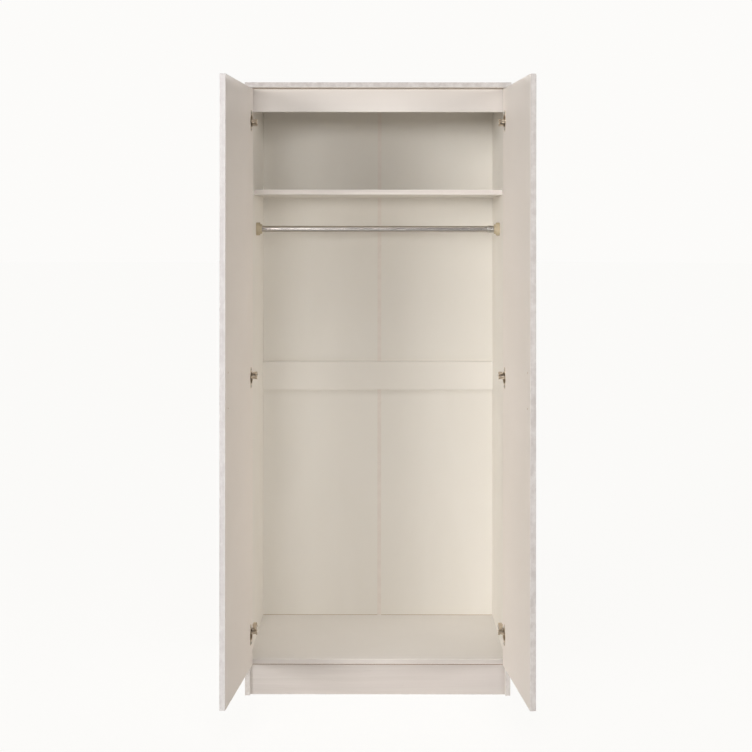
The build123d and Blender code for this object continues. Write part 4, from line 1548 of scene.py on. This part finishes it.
def bar_outline(start: Pair, end: Pair, bow: float, half: float,
                knuckle: float) -> Array:
    """Outline of a link: an even bar with a round knuckle at each end.

    The centre line is the chord lifted by 4 t (1 - t) bow. The half width is the
    larger of the bar's and the knuckle's circle, sqrt(R^2 - s^2).

    Args:
        start: first knuckle's centre.
        end: second knuckle's centre.
        bow: greatest lift of the centre line.
        half: the bar's half width.
        knuckle: the knuckles' radius.

    Returns:
        Array (n, 2), anticlockwise.
    """
    chord = np.array(end) - np.array(start)
    length = float(np.hypot(*chord))
    forward = chord / length
    left = np.array([-forward[1], forward[0]])
    neck = math.sqrt(knuckle ** 2 - half ** 2)
    sweep = np.linspace(0.0, math.pi - math.acos(neck / knuckle), 9)
    near = -knuckle * np.cos(sweep)
    along = np.concatenate([near, np.linspace(neck, length - neck, 12)[1:-1], length - near[::-1]])
    t = np.clip(along / length, 0, 1)
    spine = np.array(start) + along[:, None] * forward + (4 * t * (1 - t) * bow)[:, None] * left
    slope = 4 * (1 - 2 * t) * bow / length * ((along >= 0) & (along <= length))
    normal = left - slope[:, None] * forward
    normal = normal / np.linalg.norm(normal, axis=1, keepdims=True)
    from_end = np.minimum(along, length - along)
    width = np.maximum(np.sqrt(np.maximum(knuckle ** 2 - from_end ** 2, 0)), half)
    width = np.where(from_end < 0, np.sqrt(np.maximum(knuckle ** 2 - from_end ** 2, 0)), width)
    upper, lower = spine + normal * width[:, None], spine - normal * width[:, None]
    return np.concatenate([lower, upper[::-1]])


def plate_loops(outline: Array, low: float, high: float, rounding: float) -> Array:
    """Loops of a plate with soft edges.

    Args:
        outline: array (n, 2).
        low: the plate's underside.
        high: its top.
        rounding: how much its edges are eased.

    Returns:
        Array (loops, n, 3).
    """
    levels = [(rounding, low), (rounding * 0.3, low + rounding * 0.3), (0.0, low + rounding),
              (0.0, high - rounding), (rounding * 0.3, high - rounding * 0.3), (rounding, high)]
    return np.stack([np.concatenate([drawn_in(outline, inset), np.full((len(outline), 1), level)], axis=1)
                     for inset, level in levels])


def pin_loops(centre: Pair, radius: float, low: float, high: float, steps: int = 24) -> Array:
    """Loops of an upright pin with domed ends.

    Args:
        centre: its plan position.
        radius: its radius.
        low: its lower end.
        high: its upper end.
        steps: points round it.

    Returns:
        Array (loops, steps, 3): the ends follow a quarter ellipse.
    """
    angles = np.linspace(0, 2 * math.pi, steps + 1)[:-1]
    dome = radius * 0.35
    quarter = np.linspace(0.15, math.pi / 2, 4)
    rise = [(radius * float(np.sin(q)), dome * float(1 - np.cos(math.pi / 2 - q))) for q in quarter]
    levels = [(r, low + h) for r, h in rise] + [(r, high - h) for r, h in rise[::-1]]
    loops = stacked(levels, angles)
    return loops + np.array([centre[0], centre[1], 0.0])


@dataclass(frozen=True)
class Screw:
    """A pan-head screw with a cross recess.

    The head is a dome h (1 - (r / R)^4)^0.6. The recess sinks the dome where a
    point lies within half its width of either arm of the cross.
    """

    head: float = 3.7
    height: float = 1.8
    shank: float = 1.6
    length: float = 11.0
    arm: float = 1.8
    arm_half: float = 0.45
    recess: float = 0.95
    steps: int = 56

    def loops(self) -> Array:
        """The screw's surface about its own axis.

        Returns:
            Array (loops, steps, 3), from the middle of the head to the point.
        """
        angles = np.linspace(0, 2 * math.pi, self.steps + 1)[:-1]
        radii = np.concatenate([[0.0], np.linspace(0.2, 2.1, 14), np.linspace(2.3, self.head, 7)])
        x, y = radii[:, None] * np.cos(angles), radii[:, None] * np.sin(angles)
        dome = self.height * np.maximum(1 - (radii / self.head) ** 4, 0)[:, None] ** 0.6
        narrow = np.minimum(np.abs(x), np.abs(y))
        wide = np.maximum(np.abs(x), np.abs(y))
        inside = (np.clip((self.arm_half - narrow) / 0.16 + 0.5, 0, 1)
                  * np.clip((self.arm - wide) / 0.3 + 0.5, 0, 1))
        crown = np.stack([x, y, dome - self.recess * inside], axis=-1)
        tail = stacked([(self.head, 0.0), (self.shank, 0.0), (self.shank, -self.length * 0.85),
                        (self.shank * 0.25, -self.length), (0.0, -self.length)], angles)
        return np.concatenate([crown, tail])


@dataclass
class Hinges:
    """The concealed hinges of one door: plates, bent arms, link pairs and cups.

    Everything is drawn about the turning centre for the left hand. What rides on
    the door is drawn with the door closed and then swung open.
    """

    finishes: Finishes
    hand: Hand
    still: Swing
    swung: Swing
    levels: dict[str, float]
    side: float = 5.5
    plate_line: float = 53.0
    inner_arm: Pair = (25.654, 4.349)
    outer_arm: Pair = (23.885, 10.572)
    inner_pivot: Pair = (7.35, 11.48)
    outer_pivot: Pair = (1.93, 5.81)
    outer_bow: float = 4.86
    link_half: float = 0.7
    knuckle: float = 1.65
    pin: float = 0.9
    arm_out: float = 6.4
    cup_centre: Pair = (14.0, 13.0)
    cup_depth: float = 12.5
    crown: float = 21.5
    sheet: float = 1.2
    arm_eye: float = 2.4
    edge_ease: float = 0.22

    def build(self) -> None:
        """Build and dress every hinge of the door."""
        word = self.hand.word
        for place, level in self.levels.items():
            tail = word + "_" + place
            self._piece("hinge_plate_" + tail, self._plate(level), self.finishes.hinge, "carcass")
            self._arm("hinge_arm_" + tail, level)
            self._piece("hinge_inner_link_" + tail, self._inner_link(level), self.finishes.link,
                        word + "_inner_links")
            self._piece("hinge_outer_link_" + tail, self._outer_link(level), self.finishes.link,
                        word + "_outer_links")
            self._piece("hinge_cup_" + tail, self._cup(level), self.finishes.cup, word + "_door")
        out = self.side + 2.0
        plate_seats = [(out, self.plate_line, step * 16.0) for step in (-1, 1)]
        arm_seats = [(self.crown, self.plate_line + along, 0.0) for along in (-6.0, 18.0)]
        cup_seats = [(self.cup_centre[0] + 6.0, self.cup_centre[1] + 1.0, step * 24.0)
                     for step in (-1, 1)]
        self._screws("hinge_plate_screws_" + word, plate_seats, (1, 0, 0), self.still, "carcass", 11.0)
        self._screws("hinge_arm_screws_" + word, arm_seats, (1, 0, 0), self.still, "carcass", 14.5)
        self._screws("hinge_cup_screws_" + word, cup_seats, (0, 1, 0), self.swung, word + "_door", 11.0)

    def _piece(self, node: str, skin: Skin, material: Material, body: str) -> None:
        """Write one hinge piece and hand it to the frame."""
        settle(skin.write(node + "_shape", material), body, node)

    def _plate(self, level: float) -> Skin:
        """The mounting plate: a screw wing each way, and a raised rib under the arm.

        Its outline is the nearer of a slot and a box, traced along rays, and the
        rib's outline is a second box that rises from the plate's top.

        Args:
            level: the hinge's middle.

        Returns:
            The plate.
        """
        angles = np.linspace(0, 2 * math.pi, 145)[:-1]
        base = traced(angles, lambda x, z: np.minimum(slot_distance(x, z, 44.0, 15.0),
                                                      box_distance(x, z, -13.0, 24.0, 8.0, 1.2)))
        rib = traced(angles, lambda x, z: box_distance(x, z, -12.4, 23.4, 4.4, 1.0))
        foot = traced(angles, lambda x, z: box_distance(x, z, -12.8, 23.8, 4.8, 1.4))
        loops = stacked([(0.0, 0.0), (base - 0.15, 0.0), (base, 0.15), (base, 1.6), (base - 0.12, 1.88),
                         (base - 0.4, 2.0), (foot, 2.0), (rib + 0.1, 2.15), (rib, 2.5), (rib, 4.5),
                         (rib - 0.15, 4.85), (rib - 0.5, 5.0), (0.0, 5.0)], angles)
        placed = Placement((self.side, self.plate_line, 0.0), (0, 1, 0), (0, 0, 1), (1, 0, 0)).lay(loops)
        skin = Skin()
        skin.add_grid(self.still.lay(placed, level), wrap=True)
        return skin

    def _arm(self, node: str, level: float) -> None:
        """The arm: one sheet bent over the plate's rib, with two cheeks for the pins.

        Rows run along the arm and columns round its section, from one cheek's
        lower edge over the crown to the other's. The cheeks spread from the pins
        to the crown by a smooth step, and their edges follow the pins' circle in
        front and straight lines behind it.

        Args:
            node: the CAD node.
            level: the hinge's middle.
        """
        (x_in, y_in), (x_out, y_out), eye = self.inner_arm, self.outer_arm, self.arm_eye
        nose = y_in - eye * np.cos(np.linspace(0.12, math.pi / 2, 6))
        rows = np.concatenate([nose, np.linspace(5.5, 21.0, 10), [21.9, 22.0, 23.0, 24.5, 26.0, 28.0],
                               np.linspace(32.0, 78.0, 10)])
        drop = np.sqrt(np.maximum(eye ** 2 - np.minimum(rows - y_in, 0) ** 2, 0))
        knots = [y_in - eye, y_in, y_out, 22.0, 26.0, 78.0]
        crown = self.crown - self.sheet / 2
        low = np.interp(rows, knots, [x_in, x_in - eye, x_out - eye, 16.2, 10.6, 10.6])
        high = np.interp(rows, knots, [x_in, x_in + eye, x_out + eye, crown, crown, crown])
        low = np.where(rows < y_in, x_in - drop, low)
        high = np.where(rows < y_in, x_in + drop, high)
        step = np.clip((rows - 14.0) / 12.0, 0, 1)
        cheek = 5.8 + 1.8 * step * step * (3 - 2 * step)
        fold = 1.5 * np.clip((rows - 18.0) / 4.0, 0, 1)
        climb = np.linspace(0, 1, 5)
        quarter = np.linspace(0, math.pi / 2, 6)[1:]
        flat = np.linspace(-1, 1, 9)[1:-1]
        level_x = np.concatenate([low[:, None] + (high - fold - low)[:, None] * climb,
                                  (high - fold)[:, None] + fold[:, None] * np.sin(quarter),
                                  np.repeat(high[:, None], len(flat), axis=1)], axis=1)
        level_z = np.concatenate([np.repeat(-cheek[:, None], len(climb), axis=1),
                                  -cheek[:, None] + fold[:, None] * (1 - np.cos(quarter)),
                                  (cheek - fold)[:, None] * flat], axis=1)
        half_count = len(climb) + len(quarter)
        x = np.concatenate([level_x, level_x[:, :half_count][:, ::-1]], axis=1)
        z = np.concatenate([level_z, -level_z[:, :half_count][:, ::-1]], axis=1)
        points = np.stack([x, np.repeat(rows[:, None], x.shape[1], axis=1), z], axis=-1)
        keep = np.ones((len(rows) - 1, x.shape[1] - 1), bool)
        open_front = rows[:-1] < 21.99
        keep[open_front, half_count - 1:x.shape[1] - half_count] = False
        skin = Skin()
        skin.add_grid(self.still.lay(points, level), keep=keep)
        piece = skin.write(node + "_shape", self.finishes.hinge)
        wall = piece.modifiers.new("sheet", "SOLIDIFY")
        wall.thickness, wall.offset, wall.use_even_offset = self.sheet * MM, 0.0, True
        ease = piece.modifiers.new("eased edges", "BEVEL")
        ease.width, ease.segments = self.edge_ease * MM, 2
        ease.limit_method, ease.angle_limit = "ANGLE", math.radians(50)
        settle(piece, "carcass", node)

    def _turned(self, point: Pair) -> Pair:
        """A closed-door plan point, carried to where it is with the door open.

        Args:
            point: the point, about the turning centre.

        Returns:
            The point with the door open.
        """
        angle = math.radians(self.swung.degrees)
        return (point[0] * math.cos(angle) - point[1] * math.sin(angle),
                point[0] * math.sin(angle) + point[1] * math.cos(angle))

    def _inner_link(self, level: float) -> Skin:
        """The inner link, a flat bar with a rolled knuckle at each end, on its pin.

        Args:
            level: the hinge's middle.

        Returns:
            The link and its pin.
        """
        outline = bar_outline(self.inner_arm, self._turned(self.inner_pivot), 0.0, self.link_half,
                              self.knuckle)
        skin = Skin()
        for loops in (plate_loops(outline, -2.0, 2.0, self.edge_ease),
                      pin_loops(self.inner_arm, self.pin, -self.arm_out - 0.3, self.arm_out + 0.3)):
            skin.add_loft(self.still.lay(loops, level))
        return skin

    def _outer_link(self, level: float) -> Skin:
        """The outer link, two bowed plates on two pins.

        Args:
            level: the hinge's middle.

        Returns:
            The link and its pins.
        """
        end = self._turned(self.outer_pivot)
        outline = bar_outline(self.outer_arm, end, self.outer_bow, self.link_half, self.knuckle)
        skin = Skin()
        for loops in (plate_loops(outline, -4.4, -2.6, self.edge_ease),
                      plate_loops(outline, 2.6, 4.4, self.edge_ease),
                      pin_loops(self.outer_arm, self.pin, -self.arm_out - 0.3, self.arm_out + 0.3),
                      pin_loops(end, self.pin, -4.4, 4.4)):
            skin.add_loft(self.still.lay(loops, level))
        return skin

    def _cup(self, level: float) -> Skin:
        """The cup and its flange.

        The flange's outline is the nearer of a circle and a slot, traced along
        rays from the cup's middle. The wall turns into the floor with a fillet.

        Args:
            level: the hinge's middle.

        Returns:
            The cup.
        """
        angles = np.linspace(0, 2 * math.pi, 161)[:-1]
        flange = traced(angles, lambda x, z: np.minimum(np.hypot(x, z) - 18.75,
                                                        slot_distance(x, z, 62.0, 14.0, 6.0)))
        below = -self.cup_depth
        floor = below + 0.5
        fillet = [(16.5 - 1.6 * (1 - math.cos(t)), floor + 1.6 * (1 - math.sin(t)))
                  for t in np.linspace(0, math.pi / 2, 5)]
        loops = stacked([(0.0, below), (16.7, below), (17.3, below + 0.2), (17.5, below + 0.8),
                         (17.5, 0.0), (flange, 0.0), (flange, 0.65), (flange - 0.1, 0.9),
                         (flange - 0.35, 1.0), (17.6, 1.0), (16.9, 0.85), (16.55, 0.45), (16.5, 0.0),
                         *fillet, (9.0, floor), (0.0, floor)], angles)
        placed = Placement((*self.cup_centre, 0.0), (1, 0, 0), (0, 0, 1), (0, 1, 0)).lay(loops)
        skin = Skin()
        skin.add_grid(self.swung.lay(placed, level), wrap=True)
        return skin

    def _screws(self, node: str, seats: Sequence[Triple], out: Triple,
                swing: Swing, body: str, length: float) -> None:
        """All the screws of one kind.

        Args:
            node: the CAD node that they stand for.
            seats: where their heads bear, about the turning centre.
            out: the direction that the heads face.
            swing: how they are laid.
            body: the body that they ride on.
            length: their length under the head.
        """
        first = (0.0, 1.0, 0.0) if out[0] else (1.0, 0.0, 0.0)
        skin = Skin()
        for number, level in enumerate(self.levels.values()):
            for order, seat in enumerate(seats):
                turn = 0.6 * number + 1.1 * order + 0.3
                loops = Screw(length=length).loops()
                x, y = loops[..., 0].copy(), loops[..., 1].copy()
                loops[..., 0] = x * math.cos(turn) - y * math.sin(turn)
                loops[..., 1] = x * math.sin(turn) + y * math.cos(turn)
                placed = Placement(seat, first, (0, 0, 1), out).lay(loops)
                skin.add_grid(swing.lay(placed, level), wrap=True)
        self._piece(node, skin, self.finishes.screw, body)


@dataclass
class HangingRod:
    """The chromed tube and the short sleeve at its right end."""

    finishes: Finishes
    radius: float = 9.5
    wall: float = 1.0
    sleeve_radius: float = 10.7
    sleeve_wall: float = 0.9
    body: str = "carcass"

    def build(self) -> None:
        """Build and dress the tube and the sleeve."""
        self._tube("hanging_rod", self.radius, self.wall, self.finishes.chrome, "rod_chrome", 0.3)
        self._tube("rod_sleeve", self.sleeve_radius, self.sleeve_wall, self.finishes.sleeve,
                   "sleeve_metal", 0.35)

    def _tube(self, node: str, radius: float, wall: float, material: Material, slot: str,
              ease: float) -> None:
        """A tube with eased ends: a closed wall section turned about the rod's line.

        Args:
            node: the CAD node, whose box gives the ends and the line.
            radius: outer radius.
            wall: wall thickness.
            material: its finish.
            slot: not used.
            ease: how much its ends are rounded.
        """
        low, high = box_mm(node)
        length = high[0] - low[0]
        inner = radius - wall
        section = [(inner, ease), (inner + ease * 0.3, ease * 0.3), (inner + ease, 0.0),
                   (radius - ease, 0.0), (radius - ease * 0.3, ease * 0.3), (radius, ease)]
        section += [(radius, length * share) for share in (0.25, 0.5, 0.75)]
        section += [(r, length - along) for r, along in section[5::-1]]
        section += [(inner, length * share) for share in (0.75, 0.5, 0.25)] + [section[0]]
        angles = np.linspace(0, 2 * math.pi, 73)[:-1]
        middle = (low + high) / 2
        skin = Skin()
        skin.add_grid(Placement((low[0], middle[1], middle[2]), (0, 1, 0), (0, 0, 1), (1, 0, 0))
                      .lay(stacked(section, angles)), wrap=True)
        settle(skin.write(node + "_tube", material), self.body, node)


@dataclass
class Fittings:
    """The CAD pieces that keep their own shape and get a finish."""

    finishes: Finishes

    def dress(self) -> None:
        """Give each fitting its material."""
        kinds = self.finishes
        dressed = {"rod_socket_left": kinds.socket, "rod_socket_right": kinds.socket,
                   "rod_socket_screws": kinds.screw, "back_nails": kinds.nail,
                   "cam_locks": kinds.cam, "cam_bolts": kinds.bolt, "dowels": kinds.dowel}
        for node, material in dressed.items():
            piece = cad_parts[node]
            if not piece.material_slots:
                piece.data.materials.append(material)
            for place in piece.material_slots:
                place.material = material
            LOG.info("%s keeps its shape and wears %s", node, material.name)


@dataclass(frozen=True)
class Lamp:
    """A broad distant light, as a large softbox far away gives."""

    name: str
    azimuth: float
    elevation: float
    spread: float
    strength: float

    def light(self) -> None:
        """Hang the lamp. Azimuth 0 is in front, and 90 is to the right."""
        data = bpy.data.lights.new(self.name, "SUN")
        data.energy, data.angle = self.strength, math.radians(self.spread)
        lamp = bpy.data.objects.new(self.name, data)
        a, e = math.radians(self.azimuth), math.radians(self.elevation)
        towards = Vector((math.sin(a) * math.cos(e), -math.cos(a) * math.cos(e), math.sin(e)))
        lamp.matrix_world = towards.to_track_quat("Z", "Y").to_matrix().to_4x4()
        bpy.context.scene.collection.objects.link(lamp)


def seen_apart(g: Graph, lit: bpy.types.Node, seen: bpy.types.Node) -> Socket:
    """One shader for the light's own paths and another for what the camera sees.

    Args:
        g: the graph.
        lit: the shader that light meets.
        seen: the shader that the camera sees.

    Returns:
        The chosen shader.
    """
    return g.add("MixShader", _0=g.add("LightPath").outputs["Is Camera Ray"], _1=lit.outputs[0],
                 _2=seen.outputs[0]).outputs[0]


@dataclass
class Studio:
    """The floor, the lights and the camera."""

    eye: Triple = (0.000624, -4.01166, 1.36029)
    lens: float = 65.07
    sensor: float = 36.0
    shift: float = -0.19059
    yaw: float = 0.0015774
    roll: float = 0.0007775
    sky: float = 0.18
    backdrop: Colour = (0.974, 0.966, 0.950)
    floor_tone: float = 0.86
    paper_tone: float = 0.10
    paper_glow: Colour = (0.921, 0.914, 0.898)
    lamps: tuple[Lamp, ...] = (
        Lamp("key_left", -38.0, 2.0, 22.0, 2.06),
        Lamp("front", -8.0, 1.5, 10.0, 0.59),
        Lamp("fill_right", 38.0, 1.0, 18.0, 1.10),
        Lamp("top_front", -5.0, 60.0, 40.0, 0.65),
        Lamp("side_left", -100.0, 0.5, 4.0, 0.65),
        Lamp("side_right", 100.0, 0.5, 4.0, 0.65),
        Lamp("rear_left", -145.0, 1.0, 8.0, 1.10),
        Lamp("rear_right", 145.0, 1.0, 8.0, 1.10),
    )

    def build(self) -> None:
        """Set everything up."""
        self._camera()
        self._floor()
        self._sky()
        for lamp in self.lamps:
            lamp.light()
        bpy.context.scene.view_settings.view_transform = "Standard"

    def _camera(self) -> None:
        """A level camera whose frame is slid down to take the whole wardrobe in."""
        data = bpy.data.cameras.new("camera")
        data.sensor_width = self.sensor
        data.lens = self.lens
        data.shift_y = self.shift
        data.clip_end = 80.0
        camera = bpy.data.objects.new("camera", data)
        turn = (Matrix.Rotation(self.yaw, 4, "Z") @ Matrix.Rotation(math.pi / 2, 4, "X")
                @ Matrix.Rotation(self.roll, 4, "Z"))
        camera.matrix_world = Matrix.Translation(self.eye) @ turn
        bpy.context.scene.collection.objects.link(camera)
        bpy.context.scene.camera = camera

    def _floor(self) -> None:
        """A wide pale floor: rings that grow by equal shares, closed at the middle.

        The camera sees a paper that is as pale as the backdrop, and everything
        else is lit by a plain matt floor.
        """
        rings = np.concatenate([[0.0], np.geomspace(500.0, 60000.0, 14)])
        turn = np.linspace(0, 2 * math.pi, 49)[:-1]
        points = np.stack([rings[:, None] * np.cos(turn), rings[:, None] * np.sin(turn),
                           np.zeros((len(rings), len(turn)))], axis=-1)
        skin = Skin()
        skin.add_grid(points, wrap=True)
        material, g, shader, coords = start_material("studio_paper")
        clouds = g.noise(coords, 2.0, 3.0)
        paper = g.add("BsdfPrincipled")
        for part, tone, glow in ((shader, self.floor_tone, (0.0, 0.0, 0.0)),
                                 (paper, self.paper_tone, self.paper_glow)):
            g.tree.links.new(g.mix(clouds, (tone, tone * 0.996, tone * 0.985),
                                   (tone * 0.99, tone * 0.986, tone * 0.975)), part.inputs["Base Color"])
            part.inputs["Emission Color"].default_value = (*glow, 1.0)
            part.inputs["Emission Strength"].default_value = 1.0
            part.inputs["Roughness"].default_value = 0.9
            part.inputs["Specular IOR Level"].default_value = 0.0
        output = next(node for node in g.tree.nodes if node.type == "OUTPUT_MATERIAL")
        g.tree.links.new(seen_apart(g, shader, paper), output.inputs["Surface"])
        skin.write("studio_floor", material)

    def _sky(self) -> None:
        """Plain even light from all round, behind a plain pale backdrop."""
        world = bpy.data.worlds.new("studio_air")
        world.use_nodes = True
        tree = world.node_tree
        tree.nodes.clear()
        g = Graph(tree)
        air = g.add("Background", Color=(1.0, 0.99, 0.975, 1.0), Strength=self.sky)
        seen = g.add("Background", Color=(*self.backdrop, 1.0), Strength=1.0)
        output = g.add("OutputWorld")
        tree.links.new(seen_apart(g, air, seen), output.inputs["Surface"])
        bpy.context.scene.world = world


def main() -> None:
    """Build every sub-assembly in order."""
    logging.basicConfig(level=logging.INFO, format="%(name)s: %(message)s")
    effects = Effects()
    finishes = Finishes(effects)
    Studio().build()
    Carcass(finishes).build()
    Back(finishes).build()
    HangingRod(finishes).build()
    Fittings(finishes).dress()
    for hand in Hand:
        still, swung = (Swing(TURNING_CENTRE, degrees, hand) for degrees in (0.0, OPEN_DEGREES))
        Door(finishes, hand, swung).build()
        Hinges(finishes, hand, still, swung, HINGE_LEVELS).build()


if __name__ == "__main__":
    main()
